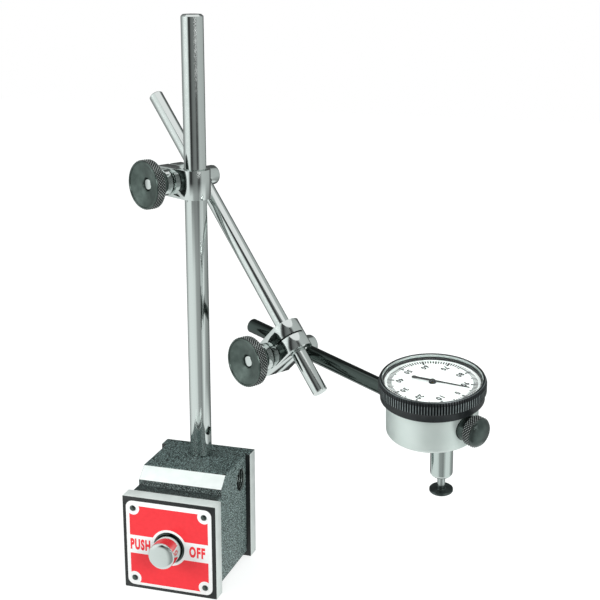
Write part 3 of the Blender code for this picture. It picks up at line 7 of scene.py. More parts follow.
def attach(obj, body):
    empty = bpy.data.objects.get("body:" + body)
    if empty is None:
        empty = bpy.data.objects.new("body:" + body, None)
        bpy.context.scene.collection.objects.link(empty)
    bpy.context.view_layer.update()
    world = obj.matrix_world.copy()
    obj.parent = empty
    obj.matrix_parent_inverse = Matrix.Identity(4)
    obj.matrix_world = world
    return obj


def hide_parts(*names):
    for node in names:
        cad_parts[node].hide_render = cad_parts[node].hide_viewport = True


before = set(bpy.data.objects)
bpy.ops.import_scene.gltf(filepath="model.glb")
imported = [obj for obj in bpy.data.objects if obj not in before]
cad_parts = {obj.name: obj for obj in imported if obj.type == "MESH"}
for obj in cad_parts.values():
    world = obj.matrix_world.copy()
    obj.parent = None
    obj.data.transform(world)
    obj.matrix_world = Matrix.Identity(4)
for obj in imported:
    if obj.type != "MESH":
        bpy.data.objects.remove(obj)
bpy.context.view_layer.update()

# The view: the angle from which the stand is seen, with a long lens a little above it and to its
# right. Places are in metres here and for the light; the pieces are drawn in millimetres.
lens = bpy.data.cameras.new("camera")
lens.lens = 80.16
lens.sensor_width = 36
camera = bpy.data.objects.new("camera", lens)
camera.location = (0.21283, -0.48722, 0.27829)
camera.rotation_euler = (radians(74.45), 0, radians(17.64))
bpy.context.scene.collection.objects.link(camera)
bpy.context.scene.camera = camera
bpy.context.scene.view_settings.view_transform = "Standard"


# The table and the light: a pale sheet that fades into a white room, with two soft lamps. Polished
# steel shows the room, so a cloth with light and dark strips hangs all round, seen only in mirrors.
def linear(code):
    """An sRGB hex colour as the linear colour that the shaders take."""
    parts = [int(code[i:i + 2], 16) / 255 for i in (1, 3, 5)]
    return [p / 12.92 if p <= 0.04045 else ((p + 0.055) / 1.055) ** 2.4 for p in parts] + [1.0]


def add_node(tree, kind, settings=None, links=None):
    """Adds a node, sets its choices and its inputs, and links other nodes' outputs to it."""
    made = tree.nodes.new(kind)
    for name, value in (settings or {}).items():
        if isinstance(name, str) and hasattr(made, name):
            setattr(made, name, value)
        else:
            made.inputs[name].default_value = value
    for name, output in (links or {}).items():
        tree.links.new(output, made.inputs[name])
    return made


def surface(name, colour, roughness, metallic=0.0):
    """A new material with its main values, and the place on the piece that its pattern reads."""
    material = bpy.data.materials.new(name)
    material.use_nodes = True
    tree = material.node_tree
    shader = tree.nodes["Principled BSDF"]
    shader.inputs["Base Color"].default_value = linear(colour)
    shader.inputs["Roughness"].default_value = roughness
    shader.inputs["Metallic"].default_value = metallic
    where = add_node(tree, "ShaderNodeTexCoord").outputs["Object"]
    return material, tree, shader, where


def seen_directly(tree):
    """1 for what the eye, a mirror or a glass shows of a surface, 0 for the light that it gives."""
    rays = add_node(tree, "ShaderNodeLightPath").outputs
    largest = {"operation": "MAXIMUM"}
    pair = add_node(tree, "ShaderNodeMath", largest,
                    {0: rays["Is Camera Ray"], 1: rays["Is Glossy Ray"]})
    return add_node(tree, "ShaderNodeMath", largest,
                    {0: pair.outputs[0], 1: rays["Is Transmission Ray"]}).outputs[0]


MIDDLE_X, MIDDLE_Y = 0.05, 0.02
ROOM_LIGHT = 0.70
PAPER_GLOW = 0.70
room = bpy.data.worlds.new("white_room")
room.use_nodes = True
tree = room.node_tree
tree.nodes.clear()
daylight = add_node(tree, "ShaderNodeBackground",
                    {"Color": linear("#f1f4f3"), "Strength": ROOM_LIGHT})
white = add_node(tree, "ShaderNodeBackground", {"Color": (1, 1, 1, 1), "Strength": 1.0})
mixed = add_node(tree, "ShaderNodeMixShader", {},
                 {0: seen_directly(tree), 1: daylight.outputs[0], 2: white.outputs[0]})
add_node(tree, "ShaderNodeOutputWorld", {}, {0: mixed.outputs[0]})
bpy.context.scene.world = room

bpy.ops.object.select_all(action="DESELECT")
bpy.ops.mesh.primitive_plane_add(size=3.0, location=(MIDDLE_X, MIDDLE_Y, -0.0003))
table = bpy.context.object
table.name = "table"
paper, tree, shader, _ = surface("pale_paper", "#b4b7b6", 0.9)
shader.inputs["Emission Color"].default_value = (1, 1, 1, 1)
glow = add_node(tree, "ShaderNodeMath", {"operation": "MULTIPLY", 1: PAPER_GLOW},
                {0: seen_directly(tree)})
tree.links.new(glow.outputs[0], shader.inputs["Emission Strength"])
table.data.materials.append(paper)
table.visible_glossy = False

for name, hung_at, size, power in (("right_lamp", (0.95, -0.75, 0.55), 0.5, 9.0),
                                   ("left_lamp", (-0.85, -0.6, 0.4), 0.6, 7.5)):
    light = bpy.data.lights.new(name, "AREA")
    light.size = size
    light.energy = power
    lamp = bpy.data.objects.new(name, light)
    lamp.location = hung_at
    way = Vector((MIDDLE_X, MIDDLE_Y, 0.1)) - Vector(hung_at)
    lamp.rotation_euler = way.to_track_quat("-Z", "Y").to_euler()
    bpy.context.scene.collection.objects.link(lamp)

# The strips of the cloth: degrees from the viewer's direction, to the right, and how bright it is
# there. High up it is light and dark, near the table mostly light, and below the table its whole
# back is light. Between the heights below, from its middle, one row of strips turns into the next.
BELOW = ((-180, 0.90), (-62, 0.95), (-34, 0.86), (-22, 0.50), (-14, 0.42), (10, 0.38),
         (24, 0.30), (38, 0.60), (52, 0.95), (180, 0.90))
LOW = ((-180, 0.06), (-156, 0.08), (-146, 0.35), (-128, 0.60), (-104, 0.95), (-62, 0.95),
       (-34, 0.86), (-22, 0.50), (-14, 0.42), (10, 0.38), (24, 0.30), (38, 0.60), (52, 0.95),
       (84, 0.95), (100, 0.45), (128, 0.30), (150, 0.06), (180, 0.06))
HIGH = ((-180, 0.10), (-152, 0.12), (-140, 0.30), (-118, 0.45), (-98, 0.95), (-58, 0.97),
        (-50, 0.25), (-44, 0.04), (-32, 0.04), (-26, 0.14), (-12, 0.22), (8, 0.24), (15, 0.16),
        (21, 0.07), (34, 0.07), (42, 0.30), (54, 0.60), (110, 0.56), (140, 0.50), (154, 0.12),
        (180, 0.10))
CLOTH_TINT = (0.95, 1.0, 0.985)
LOW_BEGINS = (-0.27, -0.22)
HIGH_BEGINS = (-0.09, 0.03)
TO_VIEWER = atan2(-0.953, 0.303)

bpy.ops.object.select_all(action="DESELECT")
bpy.ops.mesh.primitive_cylinder_add(vertices=180, radius=0.30, depth=0.92,
                                    end_fill_type="NOTHING", location=(MIDDLE_X, MIDDLE_Y, 0.11))
screen = bpy.context.object
screen.name = "striped_cloth"
cloth = bpy.data.materials.new("striped_cloth")
cloth.use_nodes = True
tree = cloth.node_tree
tree.nodes.clear()
where = add_node(tree, "ShaderNodeTexCoord").outputs["Object"]
turned_to_viewer = add_node(tree, "ShaderNodeMapping", {"Rotation": (0, 0, -TO_VIEWER)},
                            {"Vector": where})
around = add_node(tree, "ShaderNodeTexGradient", {"gradient_type": "RADIAL"},
                  {"Vector": turned_to_viewer.outputs[0]})
rows = []
for stops in (BELOW, LOW, HIGH):
    strips = add_node(tree, "ShaderNodeValToRGB", {}, {"Fac": around.outputs["Fac"]})
    while len(strips.color_ramp.elements) < len(stops):
        strips.color_ramp.elements.new(0.5)
    for stop, (turn, bright) in zip(strips.color_ramp.elements, stops):
        stop.position = 0.5 + turn / 360
        stop.color = [bright * part for part in CLOTH_TINT] + [1]
    rows.append(strips.outputs["Color"])
height = add_node(tree, "ShaderNodeSeparateXYZ", {}, {0: where}).outputs["Z"]
drape = rows[0]
for row, (start, end) in zip(rows[1:], (LOW_BEGINS, HIGH_BEGINS)):
    share = add_node(tree, "ShaderNodeMapRange", {"From Min": start, "From Max": end},
                     {"Value": height})
    drape = add_node(tree, "ShaderNodeMix", {"data_type": "RGBA"},
                     {0: share.outputs[0], 6: drape, 7: row}).outputs[2]
glow = add_node(tree, "ShaderNodeEmission", {}, {"Color": drape})
add_node(tree, "ShaderNodeOutputMaterial", {}, {0: glow.outputs[0]})
screen.data.materials.append(cloth)
screen.visible_camera = False
screen.visible_diffuse = False
screen.visible_transmission = False
screen.visible_shadow = False


# Pole plates: two thick plates of soft iron that carry the magnet's pull to the work. Their edges
# and feet are ground bright, their faces enamelled black, and the rear one's top is painted with
# the block. Lengths are in millimetres from here on, except where an operator takes metres.
def only(piece):
    """Selects this piece and nothing else."""
    if bpy.context.object and bpy.context.object.mode != "OBJECT":
        bpy.ops.object.mode_set(mode="OBJECT")
    bpy.ops.object.select_all(action="DESELECT")
    piece.select_set(True)
    bpy.context.view_layer.objects.active = piece
    return piece


def block(low, high):
    """A squared block between two corners."""
    bpy.ops.object.select_all(action="DESELECT")
    middle = [(a + b) / 2000 for a, b in zip(low, high)]
    sides = [(b - a) / 1000 for a, b in zip(low, high)]
    bpy.ops.mesh.primitive_cube_add(size=1, location=middle)
    bpy.ops.transform.resize(value=sides)
    bpy.ops.object.transform_apply()
    return bpy.context.object


def pick(piece, kind, wanted):
    """Goes into edit mode with only the faces or the edges selected that the rule wants."""
    only(piece)
    bpy.ops.object.mode_set(mode="EDIT")
    bpy.ops.mesh.select_mode(type=kind)
    bpy.ops.mesh.select_all(action="DESELECT")
    bpy.ops.object.mode_set(mode="OBJECT")
    mesh = piece.data
    if kind == "FACE":
        for face in mesh.polygons:
            face.select = bool(wanted(face.center * 1000, face.normal))
    else:
        for edge in mesh.edges:
            edge.select = bool(wanted(*(mesh.vertices[i].co * 1000 for i in edge.vertices)))
    bpy.ops.object.mode_set(mode="EDIT")


def turned(outline, sides):
    """A piece from the lathe: its outline of (radius, height) is drawn and spun round Z."""
    bpy.ops.object.select_all(action="DESELECT")
    bpy.ops.mesh.primitive_plane_add(size=0.001, location=(0, 0, 0))
    piece = bpy.context.object
    bpy.ops.object.mode_set(mode="EDIT")
    bpy.ops.mesh.select_mode(type="VERT")
    bpy.ops.mesh.merge(type="CENTER")
    bpy.ops.transform.translate(value=(outline[0][0] / 1000, 0, outline[0][1] / 1000))
    for (r0, h0), (r1, h1) in zip(outline, outline[1:]):
        step = ((r1 - r0) / 1000, 0, (h1 - h0) / 1000)
        bpy.ops.mesh.extrude_region_move(TRANSFORM_OT_translate={"value": step})
    bpy.ops.mesh.select_all(action="SELECT")
    bpy.ops.mesh.spin(steps=sides, angle=2 * pi, center=(0, 0, 0), axis=(0, 0, 1))
    bpy.ops.mesh.select_all(action="SELECT")
    bpy.ops.mesh.remove_doubles(threshold=1e-6)
    bpy.ops.mesh.normals_make_consistent(inside=False)
    bpy.ops.object.mode_set(mode="OBJECT")
    return piece


def bar(radius, low, high, sides):
    """A plain round bar on the Z axis, which mostly serves as a drill."""
    return turned([(0, low), (radius, low), (radius, high), (0, high)], sides)


def place(piece, origin, along, across):
    """Seats a piece that was made round the origin: its Z goes along one way, its X across."""
    z = Vector(along).normalized()
    x = Vector(across)
    x = (x - x.dot(z) * z).normalized()
    turn = Matrix((x, z.cross(x), z)).transposed().to_4x4()
    only(piece)
    piece.matrix_world = Matrix.Translation(Vector(origin) / 1000) @ turn
    bpy.ops.object.transform_apply()
    return piece


def combine(piece, tool, operation="DIFFERENCE"):
    """Cuts the tool from the piece, or joins it on."""
    only(piece)
    step = piece.modifiers.new("combine", "BOOLEAN")
    step.operation = operation
    step.object = tool
    step.solver = "EXACT"
    bpy.ops.object.modifier_apply(modifier="combine")
    bpy.data.objects.remove(tool)
    return piece


def broken_edges(piece, width, segments=2, least=35):
    """Takes the sharpness off the edges of at least so many degrees, which then catch the light."""
    only(piece)
    step = piece.modifiers.new("broken_edges", "BEVEL")
    step.width = width / 1000
    step.segments = segments
    step.limit_method = "ANGLE"
    step.angle_limit = radians(least)
    bpy.ops.object.modifier_apply(modifier="broken_edges")
    return piece


def fit(piece, name, finishes, body, slot, *nodes):
    """Names a finished piece, smooths its round faces and puts it on the body that carries it."""
    only(piece)
    piece.name = name
    piece.data.name = name
    bpy.ops.object.shade_smooth_by_angle(angle=radians(32))
    piece.data.materials.clear()
    for finish in finishes:
        piece.data.materials.append(finish)
    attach(piece, body)
    if nodes:
        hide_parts(*nodes)
    return piece


def finish_faces(piece, finish, wanted):
    """Gives the faces that the rule wants another of the piece's finishes."""
    number = piece.data.materials.find(finish.name)
    for face in piece.data.polygons:
        if wanted(face.center * 1000, face.normal):
            face.material_index = number


def between(one, other):
    """The settings of a mix of two colours."""
    return {"data_type": "RGBA", 6: linear(one), 7: linear(other)}


def vary(tree, shader, pattern, tones=None, gloss=None, relief=None):
    """Lets a pattern change a surface's colour between two tones, its roughness between two values,
    or its height, by a strength and a depth in metres."""
    if tones:
        tone = add_node(tree, "ShaderNodeMix", between(*tones), {0: pattern})
        tree.links.new(tone.outputs[2], shader.inputs["Base Color"])
    if gloss:
        rough = add_node(tree, "ShaderNodeMapRange", {"To Min": gloss[0], "To Max": gloss[1]},
                         {"Value": pattern})
        tree.links.new(rough.outputs[0], shader.inputs["Roughness"])
    if relief:
        bump = add_node(tree, "ShaderNodeBump", {"Strength": relief[0], "Distance": relief[1]},
                        {"Height": pattern})
        tree.links.new(bump.outputs[0], shader.inputs["Normal"])


def cloudy_surface(name, colour, roughness, metallic, spots, detail, **changes):
    """A material that one cloudy pattern makes uneven: 500 spots to the metre are 2 mm wide."""
    material, tree, shader, where = surface(name, colour, roughness, metallic)
    cloud = add_node(tree, "ShaderNodeTexNoise", {"Scale": spots, "Detail": detail},
                     {"Vector": where})
    vary(tree, shader, cloud.outputs[0], **changes)
    return material


# Ground iron: bright, with straight grinding lines 0.25 mm apart that run along each edge and
# spread the light across them. The real lines are finer, and wouldn't show.
ground_iron, tree, shader, where = surface("ground_iron", "#dce4e1", 0.45, 0.3)
along_edge = add_node(tree, "ShaderNodeMapping", {"Scale": (60, 4000, 60)}, {"Vector": where})
lines = add_node(tree, "ShaderNodeTexNoise", {"Scale": 1.0, "Detail": 3.0},
                 {"Vector": along_edge.outputs[0]})
cloudy = add_node(tree, "ShaderNodeTexNoise", {"Scale": 220.0, "Detail": 3.0}, {"Vector": where})
vary(tree, shader, cloudy.outputs[0], tones=("#dce5e2", "#f4f9f7"), gloss=(0.36, 0.55))
vary(tree, shader, lines.outputs[0], relief=(0.25, 0.00004))

# Black enamel: stoved on, glossy and nearly smooth, with a faint orange peel 1.5 mm wide.
black_enamel = cloudy_surface("black_enamel", "#16191a", 0.28, 0.0, 650.0, 3.0,
                              gloss=(0.22, 0.4), relief=(0.3, 0.00006))

# Wrinkle paint: grey lacquer that shrank while it dried into grains about 0.5 mm wide. Painted
# light makes their tops bright and painted shade keeps the creases dark. Painted shade also darkens
# the upper faces, and most of all the step, where no cloth reaches: there Y is under 9.9 mm and Z
# over 42.3 mm.
wrinkle_paint, tree, shader, where = surface("wrinkle_paint", "#566462", 0.45)
grains = add_node(tree, "ShaderNodeTexVoronoi",
                  {"feature": "SMOOTH_F1", "Scale": 2100.0, "Smoothness": 0.4}, {"Vector": where})
wander = add_node(tree, "ShaderNodeTexNoise", {"Scale": 1300.0, "Detail": 4.0, "Roughness": 0.65},
                  {"Vector": where})
wrinkles = add_node(tree, "ShaderNodeMath", {"operation": "SUBTRACT"},
                    {0: wander.outputs[0], 1: grains.outputs["Distance"]})
vary(tree, shader, wrinkles.outputs[0], relief=(0.8, 0.00024))
# Painted light and shade in the grain: lighter tops, darker creases.
tops = add_node(tree, "ShaderNodeMapRange", {"From Min": -0.02, "From Max": 0.30},
                {"Value": wrinkles.outputs[0]})
# Two sets of tones: the first for the side faces, the second darker as painted shade on the upper
# faces.
side_light_and_shade = add_node(tree, "ShaderNodeMix", between("#263533", "#c3dcd9"), {0: tops.outputs[0]})
upper_face_shade = add_node(tree, "ShaderNodeMix", between("#1a2625", "#93aca9"), {0: tops.outputs[0]})
facing = add_node(tree, "ShaderNodeNewGeometry").outputs["True Normal"]
upward = add_node(tree, "ShaderNodeSeparateXYZ", {}, {0: facing}).outputs["Z"]
tint = add_node(tree, "ShaderNodeMix", {"data_type": "RGBA"},
                {0: upward, 6: side_light_and_shade.outputs[2], 7: upper_face_shade.outputs[2]})
spot = add_node(tree, "ShaderNodeSeparateXYZ", {}, {0: where}).outputs
# Painted shade on the step under the chamfer, behind and below its edges.
behind_step = add_node(tree, "ShaderNodeMapRange",
                       {"From Min": 0.0097, "From Max": 0.0101, "To Min": 0.35, "To Max": 1.0},
                       {"Value": spot["Y"]})
below_step = add_node(tree, "ShaderNodeMapRange",
                      {"From Min": 0.0421, "From Max": 0.0425, "To Min": 1.0, "To Max": 0.35},
                      {"Value": spot["Z"]})
step_shade = add_node(tree, "ShaderNodeMath", {"operation": "MAXIMUM"},
                 {0: behind_step.outputs[0], 1: below_step.outputs[0]})
paint_with_step_shade = add_node(tree, "ShaderNodeVectorMath", {"operation": "SCALE"},
                   {0: tint.outputs[2], 3: step_shade.outputs[0]})
tree.links.new(paint_with_step_shade.outputs[0], shader.inputs["Base Color"])


def screw_hole():
    """The countersink and the clearance hole of a plate screw, from the face inwards."""
    return turned([(0, 1), (3.8, 1), (3.8, -3.3), (2.2, -3.3), (2.2, -7.5), (0, -7.5)], 32)


HALF_PLATE = 21.45
PLATE_THICKNESS = 6.7
FRONT_FACE, REAR_FACE = -3.35, 46.85
FRONT_TOP, REAR_TOP = 42.9, 50.1
ROD_HEIGHT = 21.45
BUSH_BORE = 7.1
SCREWS_AT = ((-15.8, 28.45), (15.8, 28.45), (-15.8, 14.45), (15.8, 14.45))
FRONT = ((0, -1, 0), (1, 0, 0))
REAR = ((0, 1, 0), (-1, 0, 0))
for name, low_y, face_y, top, facing in (("front_plate", FRONT_FACE, FRONT_FACE, FRONT_TOP, FRONT),
                                         ("rear_plate", 40.15, REAR_FACE, REAR_TOP, REAR)):
    plate = block((-HALF_PLATE, low_y, 0), (HALF_PLATE, low_y + PLATE_THICKNESS, top))
    combine(plate, place(bar(BUSH_BORE, -8, 8, 64), (0, face_y, ROD_HEIGHT), *facing))
    for x, z in sorted(SCREWS_AT):
        combine(plate, place(screw_hole(), (x, face_y, z), *facing))
    broken_edges(plate, 0.3)
    fit(plate, name + "_iron", [ground_iron, black_enamel, wrinkle_paint], "base",
        "machined_steel", name)
    finish_faces(plate, black_enamel, lambda c, n: abs(n.y) > 0.9)
    if name == "rear_plate":
        finish_faces(plate, wrinkle_paint, lambda c, n: n.z > 0.5)


# Plate screws: eight steel screws with a slot, sunk in the plates; the label hides the front four.
# They are turned and sawn, and keep the bright surface of the cut.
def copy_of(piece):
    """A copy of a piece, with its own mesh."""
    copy = piece.copy()
    copy.data = piece.data.copy()
    bpy.context.scene.collection.objects.link(copy)
    return copy


screw = turned([(0, -0.35), (3.1, -0.35), (3.45, -0.7), (3.45, -3.0), (1.9, -3.0), (1.9, -6.6),
                (0, -6.6)], 48)
combine(screw, block((-4, -0.45, -1.5), (4, 0.45, 1)))
broken_edges(screw, 0.12, segments=1)
for side, face_y, facing in (("front", FRONT_FACE, FRONT), ("rear", REAR_FACE, REAR)):
    for i, (x, z) in enumerate(SCREWS_AT):
        slot_way = (1, 0, 0.4 * (i - 1))
        copy = place(copy_of(screw), (x, face_y, z), facing[0], slot_way)
        node = "%s_screw_%d" % (side, i + 1)
        fit(copy, "slotted_" + node, [ground_iron], "base", "machined_steel", node)
bpy.data.objects.remove(screw)


# The block: a body of cast aluminium between the plates, painted all over, with a step behind the
# front plate and a bright milled chamfer. The magnet slides in its tunnel, the post stands in a
# hole on top, and a threaded hole on the right takes the post when the base lies on its side.
def everything(*_):
    """The rule that wants all faces."""
    return True


# Cut thread: steel with chatter 1.1 mm wide, coloured dark as painted shade of its hole, and
# mirroring the dark of its own hole.
cut_thread = cloudy_surface("cut_thread", "#6f7875", 0.28, 1.0, 900.0, 3.0, gloss=(0.2, 0.36))

HALF_BLOCK = 19.35
BLOCK_FRONT, BLOCK_BACK = 9.31, 40.1
NOSE_LENGTH = 5.66
CHAMFER_FOOT = 45.1
CHAMFER_FACING = (0, -0.64018, 0.76822)
TUNNEL = ((-12, 2, 7), (12, 43, 29))
POST_Y = 35.05
SIDE_HOLE_Y, SIDE_HOLE_Z = 33.85, 40.3
THREAD_CREST, THREAD_ROOT, MOUTH = 4.4, 4.9, 5.15
THREAD_TURNS = 12
UP = ((0, 0, 1), (1, 0, 0))
body = block((-HALF_BLOCK, BLOCK_FRONT, 2.2), (HALF_BLOCK, 41.0, REAR_TOP))
pick(body, "FACE", everything)
bpy.ops.mesh.bisect(plane_co=(0, BLOCK_FRONT / 1000, CHAMFER_FOOT / 1000),
                    plane_no=CHAMFER_FACING, use_fill=True, clear_outer=True)
pick(body, "FACE", everything)
bpy.ops.mesh.bisect(plane_co=(0, 0, FRONT_TOP / 1000), plane_no=(0, 0, 1))
pick(body, "FACE", lambda c, n: n.y < -0.9 and c.z < 42)
bpy.ops.mesh.extrude_region_move(
    TRANSFORM_OT_translate={"value": (0, -NOSE_LENGTH / 1000, 0)})
bpy.ops.mesh.select_all(action="SELECT")
bpy.ops.mesh.normals_make_consistent(inside=False)
bpy.ops.object.mode_set(mode="OBJECT")
combine(body, block(*TUNNEL))
combine(body, place(bar(4, -9.8, 1, 48), (0, POST_Y, REAR_TOP), *UP))
thread = [(0, -THREAD_TURNS), (THREAD_ROOT, -THREAD_TURNS)]
for i in range(THREAD_TURNS):
    thread += [(THREAD_CREST, i + 0.5 - THREAD_TURNS), (THREAD_ROOT, i + 1.0 - THREAD_TURNS)]
thread = thread[:-1] + [(MOUTH, 0.0), (MOUTH, 1.0), (0, 1.0)]
combine(body, place(turned(thread, 48), (HALF_BLOCK, SIDE_HOLE_Y, SIDE_HOLE_Z),
                    (1, 0, 0), (0, 1, 0)))
broken_edges(body, 0.4, segments=3)
combine(body, block((-30, BLOCK_BACK, -5), (30, 60, 60)))
fit(body, "cast_block", [wrinkle_paint, ground_iron, cut_thread], "base", "wrinkle_paint",
    "base_body")
finish_faces(body, ground_iron, lambda c, n: n.y < -0.6 and n.z > 0.72 and c.z > 45)
finish_faces(body, cut_thread, lambda c, n: c.x < HALF_BLOCK - 0.15
             and hypot(c.y - SIDE_HOLE_Y, c.z - SIDE_HOLE_Z) < THREAD_ROOT + 0.2)

# The label: a thin aluminium plate, silk-screened white and red, held by four drive rivets. The
# fields are bare except for the two words that say which way the button works.
# White screen ink: an eggshell film, mottled over 2.5 mm. Red: a warm red of soft gloss, over 2 mm.
label_white = cloudy_surface("white_screen_ink", "#f2f4f3", 0.32, 0.0, 400.0, 3.0,
                             tones=("#eceeed", "#f7f8f8"), relief=(0.1, 0.00003))
label_red = cloudy_surface("red_screen_ink", "#ee2b35", 0.3, 0.0, 500.0, 3.0,
                           tones=("#e4252f", "#f3323c"), gloss=(0.25, 0.38))

HALF_LABEL = 19.7
HALF_FIELD = 18.1
RIVET_SIDE = 16.4
LABEL_AT = (0, FRONT_FACE, ROD_HEIGHT)
label = block((-HALF_LABEL, -HALF_LABEL, 0.1), (HALF_LABEL, HALF_LABEL, 0.6))
pick(label, "EDGE", lambda a, b: abs(a.z - b.z) > 0.1)
bpy.ops.mesh.bevel(offset=0.003, segments=8, affect="EDGES")
bpy.ops.object.mode_set(mode="OBJECT")
combine(label, bar(BUSH_BORE, -1, 2, 64))
broken_edges(label, 0.1)
place(label, LABEL_AT, *FRONT)
fit(label, "label_sheet", [label_white], "base", "red_label", "label_plate")
for name, low, high, corner_y in (("upper", 3.85, 17.65, RIVET_SIDE),
                                  ("lower", -18.4, -4.65, -RIVET_SIDE)):
    field = block((-HALF_FIELD, low, 0.55), (HALF_FIELD, high, 0.64))
    for corner_x in (-RIVET_SIDE, RIVET_SIDE):
        combine(field, place(bar(3.0, 0, 2, 48), (corner_x, corner_y, 0), *UP))
    combine(field, bar(8.3, 0, 2, 64))
    place(field, LABEL_AT, *FRONT)
    fit(field, "label_field_" + name, [label_red], "base", "red_label")


def lettering(words, width, height, thickness):
    """Printed letters lying round the origin, stretched to their size."""
    bpy.ops.object.select_all(action="DESELECT")
    bpy.ops.object.text_add()
    letters = bpy.context.object
    letters.data.body = words
    letters.data.resolution_u = 4
    letters.data.offset = 0.05
    letters.data.extrude = 0.1
    letters.data.space_character = 1.2
    bpy.ops.object.convert(target="MESH")
    pick(letters, "FACE", everything)
    bpy.ops.mesh.remove_doubles(threshold=1e-5)
    bpy.ops.object.mode_set(mode="OBJECT")
    points = [v.co for v in letters.data.vertices]
    low = [min(p[i] for p in points) for i in range(3)]
    high = [max(p[i] for p in points) for i in range(3)]
    letters.location = [-(a + b) / 2 for a, b in zip(low, high)]
    bpy.ops.object.transform_apply()
    sizes = (width, height, thickness)
    letters.scale = [size / 1000 / (b - a) for size, a, b in zip(sizes, low, high)]
    bpy.ops.object.transform_apply()
    return letters


LETTER_HEIGHT = 5.2
WORDS_Y, WORDS_Z = FRONT_FACE - 0.62, ROD_HEIGHT - 0.35
for words, left, right in (("PUSH", -18.0, -8.7), ("OFF", 9.4, 16.7)):
    letters = lettering(words, right - left, LETTER_HEIGHT, thickness=0.08)
    place(letters, ((left + right) / 2, WORDS_Y, WORDS_Z), *FRONT)
    fit(letters, "label_word_" + words.lower(), [label_red], "base", "red_label")


# Drive rivets: four steel rivets with low domed heads, hammered through the label's corners.
# Polished chrome: hard chromium over ground steel, a mirror that still keeps the faint rings of
# its grinding, 0.3 mm apart here, and a few dull patches from handling. Dark steel has them too.
def polished_chrome(name, along, colour="#d8dedc"):
    """Polished metal whose grinding rings lie square to the direction that it was turned on."""
    material, tree, shader, where = surface(name, colour, 0.08, 1.0)
    turn = Vector(along).rotation_difference(Vector((0, 0, 1))).to_euler()
    turned_back = add_node(tree, "ShaderNodeMapping", {"Rotation": turn}, {"Vector": where})
    rings = add_node(tree, "ShaderNodeMapping", {"Scale": (40, 40, 3300)},
                     {"Vector": turned_back.outputs[0]})
    lines = add_node(tree, "ShaderNodeTexNoise", {"Scale": 1.0, "Detail": 2.0},
                     {"Vector": rings.outputs[0]})
    ripple = add_node(tree, "ShaderNodeTexNoise", {"Scale": 260.0, "Detail": 2.0},
                      {"Vector": where})
    height = add_node(tree, "ShaderNodeMath", {"operation": "MULTIPLY_ADD", 1: 0.35},
                      {0: lines.outputs[0], 2: ripple.outputs[0]})
    vary(tree, shader, height.outputs[0], relief=(0.2, 0.00002))
    vary(tree, shader, ripple.outputs[0], gloss=(0.04, 0.15))
    return material


front_chrome = polished_chrome("polished_chrome_front", (0, 1, 0))
dark_steel = polished_chrome("dark_steel_bush", (0, 1, 0), "#59625f")
rivet = turned([(0, 1.35), (0.5, 1.3), (0.95, 1.12), (1.25, 0.9), (1.35, 0.7), (0, 0.7)], 32)
RIVETS_HIGH, RIVETS_LOW = 37.85, 5.05
for i, (x, z) in enumerate(((-RIVET_SIDE, RIVETS_HIGH), (RIVET_SIDE, RIVETS_HIGH),
                            (-RIVET_SIDE, RIVETS_LOW), (RIVET_SIDE, RIVETS_LOW))):
    copy = place(copy_of(rivet), (x, FRONT_FACE, z), *FRONT)
    fit(copy, "drive_rivet_%d" % (i + 1), [dark_steel], "base", "machined_steel",
        "label_rivet_%d" % (i + 1))
bpy.data.objects.remove(rivet)

# Buttons: turned steel, plated. The front one, its rod and the sliding magnet move as one; pushing
# it lines the magnet up with the plates, and pushing the rear one lets go. Each runs in a bush.
for name, face_y, facing, proud in (("front", FRONT_FACE, FRONT, 0.9),
                                    ("rear", REAR_FACE, REAR, 0.0)):
    bush = turned([(6.3, -6.4), (6.8, -6.4), (6.8, proud), (6.3, proud), (6.3, -6.4)], 64)
    broken_edges(bush, 0.12, segments=1)
    place(bush, (0, face_y, ROD_HEIGHT), *facing)
    fit(bush, name + "_bush_ring", [dark_steel], "base", "polished_chrome", name + "_bush")
BUTTON_RADIUS = 6
dome = [(0, 10.5), (1.6, 10.46), (3.2, 10.32), (4.4, 10.12), (5.2, 9.85), (5.65, 9.5), (5.9, 9.1),
        (BUTTON_RADIUS, 8.6)]
rod = [(BUTTON_RADIUS, -5.5), (3.5, -5.5), (3.5, -40.1), (2.2, -40.1), (2.2, -46.1), (0, -46.1)]
button = place(turned(dome + rod, 96), LABEL_AT, *FRONT)
fit(button, "push_button_chrome", [front_chrome], "push_rod", "polished_chrome", "push_button")
cap = [(0, 0), (5.2, 0), (5.65, -0.2), (5.9, -0.5), (BUTTON_RADIUS, -0.9), (BUTTON_RADIUS, -9.8),
       (2.5, -9.8), (2.5, -3.8), (0, -3.8)]
button = place(turned(cap, 64), (0, REAR_FACE, ROD_HEIGHT), *REAR)
fit(button, "rear_button_chrome", [front_chrome], "push_rod", "polished_chrome", "rear_button")

# The post: ground and chromed bar, screwed into the block, with a cross hole low down for a tommy
# bar and a chamfer on top.
POST_RADIUS = 4.7625
POST_TOP = 244.2
TOMMY_HEIGHT, TOMMY_TURN = 62, radians(-19)
post_chrome = polished_chrome("polished_chrome_post", (0, 0, 1))
post = turned([(0, 40.6), (3.7, 40.6), (3.7, 50.4), (POST_RADIUS, 50.4), (POST_RADIUS, 243.4),
               (3.96, POST_TOP), (0, POST_TOP)], 128)
combine(post, place(bar(1.9, -8, 8, 32), (0, 0, TOMMY_HEIGHT),
                    (cos(TOMMY_TURN), sin(TOMMY_TURN), 0), (0, 0, 1)))
broken_edges(post, 0.12, least=28)
place(post, (0, POST_Y, 0), *UP)
fit(post, "post_bar", [post_chrome], "post", "polished_chrome", "post")

